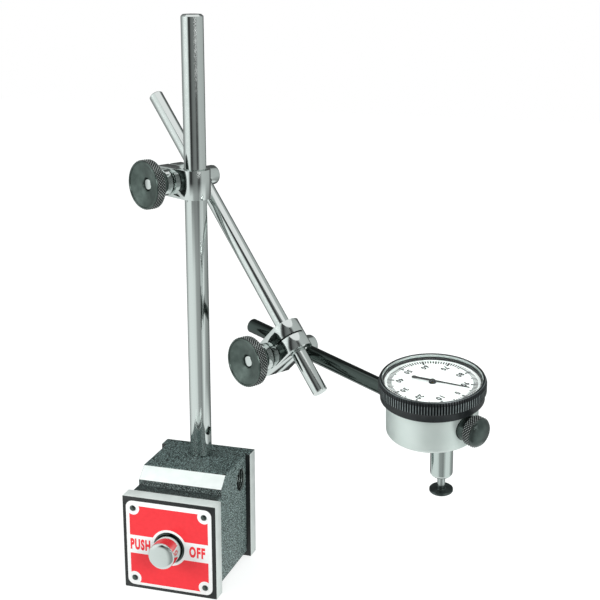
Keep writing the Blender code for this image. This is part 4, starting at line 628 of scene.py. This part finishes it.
# Swivel clamps: a polished block pinched round the post, another round the tilted arm. An eye bolt
# goes through each block; the rod that it carries is drawn against a grooved washer by the knob.
BOLT_WAY = Vector((0.5, 0.866025, 0))
ARM_WAY = Vector((0.601266, -0.347141, -0.719703))
ROD_WAY = Vector((0.861653, -0.497476, -0.100362))
UPPER_CLAMP = (0, POST_Y, 173.41)
UPPER_BOLT = (-10.392, 41.05, 173.41)
LOWER_CLAMP = (46.883, 22.185, 112.214)
LOWER_BOLT = (39.404, 26.503, 103.882)
HALF_CLAMP, CLAMP_TAIL = 6.5, -18.4
BOLT_AT = -12
POST_BORE, ROD_BORE = 5.06, 3.475
EYE_AT = 12.3


def clamp_block(bore, sawn):
    """A block with a round end, bored, slit along its middle and cross-drilled for the bolt."""
    piece = block((CLAMP_TAIL, -HALF_CLAMP, -6.35), (HALF_CLAMP, HALF_CLAMP, 6.35))
    pick(piece, "EDGE", lambda a, b: a.x > 6 and b.x > 6 and abs(a.z - b.z) > 1)
    bpy.ops.mesh.bevel(offset=0.00648, segments=20, affect="EDGES", clamp_overlap=False)
    bpy.ops.object.mode_set(mode="OBJECT")
    combine(piece, bar(bore, -9, 9, 96))
    combine(piece, block((-20, -0.4, -9), (0, 0.4, 9)))
    combine(piece, place(bar(2.8, -9, 9, 48), (BOLT_AT, 0, 0), (0, 1, 0), (1, 0, 0)))
    if sawn:
        combine(piece, block((-3.6, -9, -0.35), (8, 2.3, 0.35)))
    return broken_edges(piece, 0.3, least=40)


def eye_bored(piece):
    """Bores a bolt or a washer across for its rod."""
    return combine(piece, place(bar(ROD_BORE, -9, 9, 64), (0, 0, EYE_AT), (1, 0, 0), (0, 1, 0)))


clamp_chrome = polished_chrome("polished_chrome_clamp", BOLT_WAY)
piece = place(clamp_block(POST_BORE, sawn=False), UPPER_CLAMP, (0, 0, 1), (0.866025, -0.5, 0))
fit(piece, "upper_clamp_chrome", [clamp_chrome], "upper_clamp", "polished_chrome",
    "upper_clamp_block")
piece = place(clamp_block(ROD_BORE, sawn=True), LOWER_CLAMP, -ARM_WAY,
              (0.623281, -0.359852, 0.694282))
fit(piece, "lower_clamp_chrome", [clamp_chrome], "lower_clamp", "polished_chrome",
    "lower_clamp_block")

bolt_outline = [(0, -16.4), (2.1, -16.4), (2.5, -16.0), (2.5, 7.1), (4.1, 7.1), (4.3, 7.3),
                (4.3, 18.9), (4.19, 19.44), (3.89, 19.89), (3.44, 20.19), (2.9, 20.3), (0, 20.3)]
washer_outline = [(4.6, 6.8), (6.0, 6.8), (6.3, 7.1), (6.3, 9.1), (6.0, 9.4), (4.6, 9.4),
                  (4.6, 6.8)]
spacer_outline = [(2.8, 6.8), (5.4, 6.8), (5.85, 7.2), (5.85, 9.6), (5.4, 10.0), (2.8, 10.0),
                  (2.8, 6.8)]
for side, origin, rod_way in (("upper", UPPER_BOLT, ARM_WAY), ("lower", LOWER_BOLT, ROD_WAY)):
    bolt = broken_edges(eye_bored(turned(bolt_outline, 64)), 0.12, segments=1, least=40)
    washer = eye_bored(turned(washer_outline, 64))
    spacer = turned(spacer_outline, 64)
    for piece, name, node, way in ((bolt, "_eye_bolt", "_eye_bolt", BOLT_WAY),
                                   (washer, "_washer", "_groove_washer", BOLT_WAY),
                                   (spacer, "_spacer", "_spacer", -BOLT_WAY)):
        place(piece, origin, way, rod_way)
        fit(piece, side + name + "_chrome", [clamp_chrome], side + "_swivel", "polished_chrome",
            side + node)


# Knobs: turned from steel and blackened in a hot salt bath, which leaves a thin grey-black skin.
# The rim has a diamond knurl. Its valleys are painted dark as painted shade, and its tips are
# painted bright as wear and as a painted highlight. The outer face is dished and shows the rings of
# its turning, 0.35 mm apart, which gather the light into two fans.
def black_oxide(name, origin, along, light="#6a7772", dark="#313b38", dull=0.34, knurl=None):
    """Blackened steel, turned round an axis; a knurl between two radii gets painted shade in its
    valleys and bright tips, as wear and as a painted highlight.
    """
    material, tree, shader, where = surface(name, dark, dull, 0.85)
    origin, along = Vector(origin) / 1000, Vector(along)
    turn = along.rotation_difference(Vector((0, 0, 1)))
    back = add_node(tree, "ShaderNodeMapping",
                    {"Location": -(turn @ origin), "Rotation": turn.to_euler()}, {"Vector": where})
    rings = add_node(tree, "ShaderNodeTexWave",
                     {"wave_type": "RINGS", "rings_direction": "Z", "Scale": 900.0,
                      "Distortion": 0.6, "Detail": 2.0}, {"Vector": back.outputs[0]})
    vary(tree, shader, rings.outputs["Fac"], relief=(0.3, 0.00002))
    cloudy = add_node(tree, "ShaderNodeTexNoise", {"Scale": 300.0, "Detail": 4.0},
                      {"Vector": where})
    vary(tree, shader, cloudy.outputs[0], tones=(dark, light), gloss=(0.75 * dull, 1.25 * dull))
    from_axis = add_node(tree, "ShaderNodeVectorMath", {"operation": "SUBTRACT", 1: origin},
                         {0: where})
    shader.inputs["Anisotropic"].default_value = 0.8
    tree.links.new(from_axis.outputs[0], shader.inputs["Tangent"])
    if knurl:
        low, high = knurl[0] / 1000, knurl[1] / 1000
        ring_way = add_node(tree, "ShaderNodeVectorMath", {"operation": "CROSS_PRODUCT", 1: along},
                            {0: from_axis.outputs[0]})
        radius = add_node(tree, "ShaderNodeVectorMath", {"operation": "LENGTH"},
                          {0: ring_way.outputs[0]}).outputs["Value"]
        knurl_height = add_node(tree, "ShaderNodeMapRange", {"From Min": low, "From Max": high},
                          {"Value": radius})
        on_rim = add_node(tree, "ShaderNodeMath", {"operation": "GREATER_THAN", 1: low - 0.00014},
                          {0: radius})
        # Painted shade in the knurl's valleys and a painted highlight on its tips, which also stand
        # for wear.
        knurl_shade_and_highlight = add_node(tree, "ShaderNodeMix", between("#0d1010", "#c9d2cf"),
                        {0: knurl_height.outputs[0]})
        skin = shader.inputs["Base Color"].links[0].from_socket
        both = add_node(tree, "ShaderNodeMix", {"data_type": "RGBA"},
                        {0: on_rim.outputs[0], 6: skin, 7: knurl_shade_and_highlight.outputs[2]})
        tree.links.new(both.outputs[2], shader.inputs["Base Color"])
        bare = add_node(tree, "ShaderNodeMapRange", {"To Min": 0.85, "To Max": 0.1},
                        {"Value": on_rim.outputs[0]})
        tree.links.new(bare.outputs[0], shader.inputs["Metallic"])
    return material


def diamond_knurl(piece, radius, low, high, rise):
    """Presses a diamond knurl into a round band that is already ruled into squares."""
    near = 1e-3

    def on_band(c):
        return hypot(c.x, c.y) > radius - 0.06 and low < c.z < high

    def ruled(a, b):
        level = abs(a.z - b.z) < near and low + 0.01 < a.z < high - 0.01
        upright = abs(a.z - b.z) > near and hypot(a.x - b.x, a.y - b.y) < near
        return on_band((a + b) / 2) and (level or upright)

    pick(piece, "FACE", lambda c, n: on_band(c))
    bpy.ops.mesh.poke(offset=0)
    pick(piece, "EDGE", ruled)
    bpy.ops.mesh.dissolve_edges(use_verts=False)
    pick(piece, "FACE", lambda c, n: on_band(c) and abs(n.z) < 0.5)
    bpy.ops.mesh.poke(offset=rise / 1000)
    bpy.ops.object.mode_set(mode="OBJECT")


KNOB_RADIUS = 10.35
KNURL_LOW, KNURL_HIGH = 14.5, 18.5
knob_outline = [(2.8, 10.3), (6.0, 10.3), (6.2, 10.5), (6.2, 14.1), (9.9, 14.1)]
knob_outline += [(KNOB_RADIUS, KNURL_LOW + 4.0 * i / 3) for i in range(4)]
knob_outline += [(10.2, 18.95), (10.05, 19.0), (9.75, 19.0), (9.6, 18.85), (9.5, 18.5),
                 (6.3, 17.5), (3.3, 17.0), (3.0, 16.8), (2.8, 16.5), (2.8, 10.3)]
knob = turned(knob_outline, 52)
diamond_knurl(knob, KNOB_RADIUS, KNURL_LOW, KNURL_HIGH, 0.4)
for side, origin in (("upper", UPPER_BOLT), ("lower", LOWER_BOLT)):
    copy = place(copy_of(knob), origin, -BOLT_WAY, ARM_WAY)
    finish = black_oxide("black_oxide_%s_knob" % side, origin, -BOLT_WAY, knurl=(10.50, 10.74))
    fit(copy, side + "_knob_knurled", [finish], side + "_knob", "black_oxide", side + "_knob")
bpy.data.objects.remove(knob)

# Rods: the arm is chromed like the post. The rod that holds the indicator is blackened and
# polished, and ends in a thin threaded stud that goes right through the indicator's case.
ROD_RADIUS, ROD_CHAMFER = 3.175, 2.775
ARM_AT = (-4.242, 51.702, 173.41)
ROD_AT = (45.554, 37.155, 103.882)
arm_chrome = polished_chrome("polished_chrome_arm", ARM_WAY)
arm = turned([(0, -45.4), (ROD_CHAMFER, -45.4), (ROD_RADIUS, -45.0), (ROD_RADIUS, 110.9),
              (ROD_CHAMFER, 111.3), (0, 111.3)], 96)
place(arm, ARM_AT, ARM_WAY, BOLT_WAY)
fit(arm, "arm_rod_chrome", [arm_chrome], "arm", "polished_chrome", "arm_rod")
black_rod = polished_chrome("polished_black_oxide", ROD_WAY, "#4a5350")
rod = turned([(0, -31.2), (ROD_CHAMFER, -31.2), (ROD_RADIUS, -30.8), (ROD_RADIUS, 61.0),
              (ROD_CHAMFER, 61.4), (1.5, 61.4), (1.5, 102.4), (0, 102.4)], 96)
place(rod, ROD_AT, ROD_WAY, BOLT_WAY)
fit(rod, "holding_rod_black", [black_rod], "holding_rod", "black_enamel", "holding_rod")

# The thumb nut: blackened steel with a plain collar, a diamond knurl and a domed end; it draws the
# case against the rod's shoulder.
INDICATOR = (112.763, -1.648, 96.054)
NUT_RADIUS = 5.85
NUT_KNURL_LOW, NUT_KNURL_HIGH = 20.9, 24.2
nut_outline = [(0, 24.8), (1.8, 24.8), (1.8, 16.6), (4.9, 16.6), (5.2, 16.9), (5.2, 20.2),
               (5.6, 20.5)]
nut_outline += [(NUT_RADIUS, NUT_KNURL_LOW + 3.3 * i / 3) for i in range(4)]
nut_outline += [(5.75, 24.55), (5.3, 25.1), (4.3, 25.75), (3.0, 26.2), (1.5, 26.43), (0, 26.5)]
nut = turned(nut_outline, 32)
diamond_knurl(nut, NUT_RADIUS, NUT_KNURL_LOW, NUT_KNURL_HIGH, 0.34)
place(nut, INDICATOR, ROD_WAY, BOLT_WAY)
nut_finish = black_oxide("black_oxide_thumb_nut", INDICATOR, ROD_WAY, light="#626d69",
                         dark="#2b3433", dull=0.13, knurl=(5.96, 6.17))
fit(nut, "thumb_nut_knurled", [nut_finish], "thumb_nut", "black_oxide", "thumb_nut")

# The indicator's case and stem: a round cup, turned from brass and plated in satin chrome, with a
# boss inside each side, bored across for the rod's stud. The polished stem guides the spindle.
# Satin chrome: plated over blasted grit, 0.55 mm wide here because finer wouldn't show, so it
# holds a soft glow and no sharp reflection.
satin_chrome, tree, shader, where = surface("satin_chrome", "#cbd6d2", 0.4, 0.65)
grit = add_node(tree, "ShaderNodeTexNoise", {"Scale": 1800.0, "Detail": 3.0}, {"Vector": where})
vary(tree, shader, grit.outputs[0], relief=(0.35, 0.00003))
soft = add_node(tree, "ShaderNodeTexNoise", {"Scale": 90.0, "Detail": 2.0}, {"Vector": where})
vary(tree, shader, soft.outputs[0], tones=("#c6d3ce", "#e3ebe8"), gloss=(0.32, 0.44))

DIAL_UP = Vector((0.020909, -0.16279, 0.986439))
ON_DIAL = (INDICATOR, DIAL_UP, ROD_WAY)
CASE_RADIUS, CASE_TOP = 18.1, 10.8
STEM_X, STEM_Y = -1.0, 7.2
ALONG_X = ((1, 0, 0), (0, 1, 0))
case = turned([(0, -9.06), (16.5, -9.06), (17.11, -8.94), (17.63, -8.59), (17.98, -8.07),
               (CASE_RADIUS, -7.46), (CASE_RADIUS, CASE_TOP), (16.3, CASE_TOP), (16.3, -7.26),
               (0, -7.26)], 160)
tube = [(0, -16.9), (6.2, -16.9), (6.2, -14.9), (2.6, -14.9), (2.6, 14.9), (6.2, 14.9),
        (6.2, 16.9), (0, 16.9)]
combine(case, place(turned(tube, 48), (0, 0, 0), *ALONG_X), "UNION")
PILLARS_AT = 13.2
pillars = [(PILLARS_AT * cos(turn), PILLARS_AT * sin(turn), 0)
           for turn in (pi / 2, 7 * pi / 6, 11 * pi / 6)]
for pillar in pillars:
    combine(case, place(bar(1.9, -7.4, 8.75, 24), pillar, *UP), "UNION")
bore = [(0, -19.5), (5.4, -19.5), (5.4, -16.3), (1.8, -16.3), (1.8, 16.3), (5.4, 16.3),
        (5.4, 19.5), (0, 19.5)]
combine(case, place(turned(bore, 64), (0, 0, 0), *ALONG_X))
combine(case, place(bar(3.45, -11, -5, 32), (STEM_X, STEM_Y, 0), *UP))
for pillar in pillars:
    combine(case, place(bar(0.85, 4.9, 9.6, 24), pillar, *UP))
broken_edges(case, 0.12, least=40)
place(case, *ON_DIAL)
fit(case, "case_satin", [satin_chrome], "indicator", "satin_chrome", "indicator_case")

STEM_RADIUS = 4.575
STEM_AT = Vector(INDICATOR) + ROD_WAY * STEM_X + DIAL_UP.cross(ROD_WAY) * STEM_Y
ON_STEM = (STEM_AT, DIAL_UP, ROD_WAY)
stem_chrome = polished_chrome("polished_chrome_stem", DIAL_UP, "#ccd5d2")
stem = turned([(2.9, -33.0), (3.075, -33.0), (3.65, -32.89), (4.14, -32.56), (4.46, -32.07),
               (STEM_RADIUS, -31.5), (STEM_RADIUS, -9.36), (3.3, -9.36), (3.3, -6.96),
               (1.9, -6.96), (1.9, -10.46), (2.9, -10.46), (2.9, -33.0)], 96)
place(stem, *ON_STEM)
fit(stem, "stem_chrome", [stem_chrome], "indicator", "polished_chrome", "stem")

# The contact: a flat-faced disc with a short hub, turned from steel and pressed on the spindle's
# thin tip; blackened like the nut, with the rings of its turning.
contact = turned([(0, -38.75), (0.95, -38.75), (0.95, -37.9), (1.5, -37.9), (1.7, -38.1),
                  (1.7, -39.2), (2.0, -39.4), (4.6, -39.4), (4.85, -39.6), (4.85, -40.3),
                  (4.65, -40.5), (0, -40.5)], 96)
place(contact, *ON_STEM)
contact_finish = black_oxide("black_oxide_contact", STEM_AT, DIAL_UP, light="#5b6562",
                             dark="#20272a")
fit(contact, "contact_black", [contact_finish], "plunger", "machined_steel", "contact_disc")

# The bezel: an aluminium ring, anodised black, turned by hand to set the zero. A hundred and twenty
# straight ridges run round it, with crests and a rim edge painted lighter as wear and as a painted
# highlight, over a plain skirt.
# Black anodising: a hard dyed skin with a dull shine that dust makes uneven over 2 mm.
black_anodised = cloudy_surface("black_anodised", "#1c2021", 0.36, 0.4, 500.0, 3.0,
                                tones=("#141718", "#2d3234"), gloss=(0.28, 0.45))
# Worn and highlit anodising: on the crests of the ridges and the edge of the rim the grey metal
# shows through where fingers touch, and its light colour is also a painted highlight.
worn_highlit_anodised = cloudy_surface("worn_highlit_anodised", "#6f787a", 0.3, 0.8, 700.0, 3.0,
                               tones=("#3a4042", "#a4adae"))
# Painted reflection: the wall of the opening is coloured pale grey as a painted reflection, which
# shows as a light band at the far side.
painted_reflection_grey = cloudy_surface("painted_reflection_grey", "#bcc5c2", 0.4, 0.2, 200.0, 2.0, gloss=(0.34, 0.5))


def on_dial(point):
    """How far a point lies from the indicator's axis, and how far along it."""
    away = point - Vector(INDICATOR)
    return (away - away.dot(DIAL_UP) * DIAL_UP).length, away.dot(DIAL_UP)


def crest_and_rim(c, n):
    """The rule for the crests of the ridges and the edge of the rim."""
    radius, height = on_dial(c)
    return radius > 21.0 or (14.5 < height < 14.8 and radius > 20.2)


def inner_wall(c, n):
    """The rule for the wall of the opening."""
    radius, height = on_dial(c)
    return 19.4 < radius < 19.7 and 12 < height < 14.75


def groove(a, b):
    """The rule for the bottoms of the grooves: every third degree of the ridged band."""
    on_band = hypot(a.x, a.y) > 20.85 and hypot(b.x, b.y) > 20.85 and abs(a.z - b.z) > 0.1
    return on_band and round(degrees(atan2(a.y, a.x))) % 3 == 0


RIDGE_RADIUS, SKIRT_RADIUS, OPENING = 21.05, 20.38, 19.6
GROOVE_SHARE = 0.966
bezel = turned([(18.4, 6.15), (20.1, 6.15), (SKIRT_RADIUS, 6.4), (SKIRT_RADIUS, 9.2), (20.5, 9.44),
                (20.9, 9.6), (RIDGE_RADIUS, 9.8), (RIDGE_RADIUS, 13.3), (20.95, 13.61),
                (20.5, 14.65), (20.35, 14.84), (19.75, 14.84), (OPENING, 14.7), (OPENING, 11.6),
                (17.4, 11.6), (17.4, 11.1), (18.4, 11.1), (18.4, 6.15)], 360)
pick(bezel, "EDGE", groove)
bpy.ops.transform.resize(value=(GROOVE_SHARE, GROOVE_SHARE, 1), center_override=(0, 0, 0.0115))
bpy.ops.object.mode_set(mode="OBJECT")
place(bezel, *ON_DIAL)
fit(bezel, "bezel_knurled", [black_anodised, worn_highlit_anodised, painted_reflection_grey], "bezel",
    "black_oxide", "bezel")
# The crests and the rim edge: lighter as wear and as a painted highlight.
finish_faces(bezel, worn_highlit_anodised, crest_and_rim)
# The wall of the opening: a painted reflection.
finish_faces(bezel, painted_reflection_grey, inner_wall)

# The dial: a white enamelled disc, printed with a hundred divisions and the numbers of every
# tenth. It turns with the bezel.
# Dial enamel: matt and almost even. Printing ink: flat black with a bloom 0.7 mm wide; it also
# paints the shadow at the dial's edge on the crystal's ring.
dial_white = cloudy_surface("dial_enamel", "#f3f4f3", 0.42, 0.0, 700.0, 2.0,
                            tones=("#eff1f0", "#f7f8f7"))
black_print_and_shadow = cloudy_surface("black_print_and_painted_shadow", "#0a0c0c", 0.5, 0.0, 1500.0, 2.0,
                          tones=("#050606", "#121516"))

DIAL_TOP = 12.4
INK_LOW, INK_HIGH = 12.38, 12.43
DIGIT_WIDTH, DIGIT_GAP, DIGIT_HEIGHT = 1.45, 0.3, 2.75
dial = turned([(1.2, 11.9), (19.2, 11.9), (19.3, 12.0), (19.3, DIAL_TOP), (1.2, DIAL_TOP),
               (1.2, 11.9)], 160)
place(dial, *ON_DIAL)
fit(dial, "dial_printed", [dial_white], "bezel", "white_dial", "dial_face")
ZERO = radians(2)
NUMBERS_AT, TICKS_END = 12.6, 17.6
prints = []
# How many ticks, the radius at which they start, their width, and the first one's place in steps.
for count, inner, width, first in ((100, 15.8, 0.56, 0), (10, 15.3, 0.6, 0.5), (10, 14.8, 0.85, 0)):
    tick = block((inner, -width / 2, INK_LOW), (TICKS_END, width / 2, INK_HIGH))
    only(tick)
    tick.rotation_euler.z = ZERO + first * 2 * pi / count
    bpy.ops.object.transform_apply()
    pick(tick, "FACE", everything)
    bpy.ops.mesh.spin(dupli=True, steps=count - 1, angle=2 * pi * (count - 1) / count,
                      center=(0, 0, 0), axis=(0, 0, 1))
    bpy.ops.object.mode_set(mode="OBJECT")
    prints.append(tick)
for i in range(10):
    words = str(10 * i)
    width = DIGIT_WIDTH * len(words) + DIGIT_GAP * (len(words) - 1)
    number = lettering(words, width, DIGIT_HEIGHT, thickness=0.05)
    turn = ZERO - 2 * pi * i / 10
    place(number, (NUMBERS_AT * cos(turn), NUMBERS_AT * sin(turn), 12.42), (0, 0, 1),
          (sin(ZERO), -cos(ZERO), 0))
    prints.append(number)
prints.append(turned([(0.8, INK_LOW), (1.45, INK_LOW), (1.45, 12.7), (0.8, 12.7),
                      (0.8, INK_LOW)], 32))
bpy.ops.object.select_all(action="DESELECT")
for mark in prints:
    mark.select_set(True)
bpy.context.view_layer.objects.active = prints[0]
bpy.ops.object.join()
dial_print = place(bpy.context.object, *ON_DIAL)
fit(dial_print, "dial_print", [black_print_and_shadow], "bezel", "white_dial")

# The hand: stamped from thin spring steel, blacked like the print and pressed on a bush, with a
# long blade and a short, wide tail.
HAND_LOW, HAND_HIGH = 13.2, 13.5
HAND_MIDDLE = (0, 0, 0.01335)
HAND_TURN = radians(22.5)
hand = block((-0.6, -0.45, HAND_LOW), (15.0, 0.45, HAND_HIGH))
pick(hand, "EDGE", lambda a, b: a.x > 14 and b.x > 14)
bpy.ops.transform.resize(value=(1, 0.4, 1), center_override=HAND_MIDDLE)
bpy.ops.object.mode_set(mode="OBJECT")
tail = block((-8.5, -1.1, HAND_LOW), (0.6, 1.1, HAND_HIGH))
pick(tail, "FACE", everything)
bpy.ops.mesh.bisect(plane_co=(-0.0060, 0, 0), plane_no=(1, 0, 0))
pick(tail, "EDGE", lambda a, b: a.x > -6.1 and b.x > -6.1)
bpy.ops.transform.resize(value=(1, 0.5, 1), center_override=HAND_MIDDLE)
pick(tail, "EDGE", lambda a, b: a.x < -8 and b.x < -8 and abs(a.z - b.z) > 0.1)
bpy.ops.mesh.bevel(offset=0.001, segments=6, affect="EDGES")
bpy.ops.object.mode_set(mode="OBJECT")
combine(hand, tail, "UNION")
combine(hand, turned([(0, 13.05), (1.1, 13.05), (1.1, 13.5), (0.9, 13.65), (0, 13.65)], 48),
        "UNION")
combine(hand, bar(0.65, 12.5, 13.35, 24))
place(hand, INDICATOR, DIAL_UP,
      ROD_WAY * cos(HAND_TURN) + DIAL_UP.cross(ROD_WAY) * sin(HAND_TURN))
fit(hand, "hand_blade", [black_print_and_shadow], "hand", "black_enamel", "hand")

# The crystal: a disc of clear acrylic over the dial, held off it by a ring. The ring's inner and
# end faces are painted black as a painted shadow at the dial's edge, and its outer face is painted
# pale as a painted reflection. The crystal's coated faces mirror little, so the print under it
# stays black.
ring = turned([(18.7, 12.55), (19.3, 12.55), (19.3, 13.35), (19.3, 13.69), (18.7, 13.69),
               (18.7, 13.35), (18.7, 12.55)], 160)
place(ring, *ON_DIAL)
fit(ring, "crystal_seat", [painted_reflection_grey, black_print_and_shadow], "bezel", "machined_steel", "crystal_ring")
# Painted shadow: the faces of the ring inside 19.1 mm are black.
finish_faces(ring, black_print_and_shadow, lambda c, n: on_dial(c)[0] < 19.1)

# Clear acrylic: smooth, with faint wear 8 mm wide; the light of the lamps passes it unbent.
clear_acrylic, tree, shader, where = surface("clear_acrylic", "#fbfefd", 0.03)
shader.inputs["IOR"].default_value = 1.08
shader.inputs["Transmission Weight"].default_value = 1.0
wear = add_node(tree, "ShaderNodeTexNoise", {"Scale": 120.0, "Detail": 3.0}, {"Vector": where})
vary(tree, shader, wear.outputs[0], gloss=(0.015, 0.05))
open_to_lamps = add_node(tree, "ShaderNodeBsdfTransparent", {"Color": linear("#f7fbfa")})
shadow_ray = add_node(tree, "ShaderNodeLightPath").outputs["Is Shadow Ray"]
both = add_node(tree, "ShaderNodeMixShader", {},
                {0: shadow_ray, 1: shader.outputs[0], 2: open_to_lamps.outputs[0]})
tree.links.new(both.outputs[0], tree.nodes["Material Output"].inputs["Surface"])
glass = turned([(0, 13.84), (19.1, 13.84), (19.3, 14.0), (19.3, 14.3), (19.05, 14.52),
                (14, 14.6), (7, 14.64), (0, 14.64)], 160)
place(glass, *ON_DIAL)
fit(glass, "crystal_acrylic", [clear_acrylic], "bezel", "clear_crystal", "crystal")

# Inside and under the base: the magnets, the small steel of the push rod, the movement with its
# brass wheels, and the springs. Their own shapes are kept, with these finishes.
# Sintered magnet: grey, with grains 0.8 mm wide here. Brass and spring steel: bright and rolled,
# a little uneven over 1.1 and 0.7 mm.
magnet_alloy = cloudy_surface("sintered_magnet", "#6f7473", 0.5, 0.9, 1200.0, 4.0,
                              relief=(0.4, 0.00005))
brass = cloudy_surface("rolled_brass", "#d0a85c", 0.3, 1.0, 900.0, 2.0, gloss=(0.22, 0.4))
spring_steel = cloudy_surface("spring_steel", "#b9c0be", 0.25, 1.0, 1500.0, 2.0,
                              gloss=(0.18, 0.36))
for finish, names in (
    (magnet_alloy, ("fixed_magnet", "sliding_magnet")),
    (brass, ("movement_plate", "bracket_left", "bracket_right", "stem_bush", "crown_arbor",
             "transfer_arbor", "centre_arbor")),
    (spring_steel, ("magnet_clip_front", "magnet_clip_rear", "movement_screw_1",
                    "movement_screw_2", "movement_screw_3", "return_spring", "hairspring",
                    "spindle", "spindle_collar")),
):
    for name in names:
        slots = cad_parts[name].data.materials
        slots.clear()
        slots.append(finish)
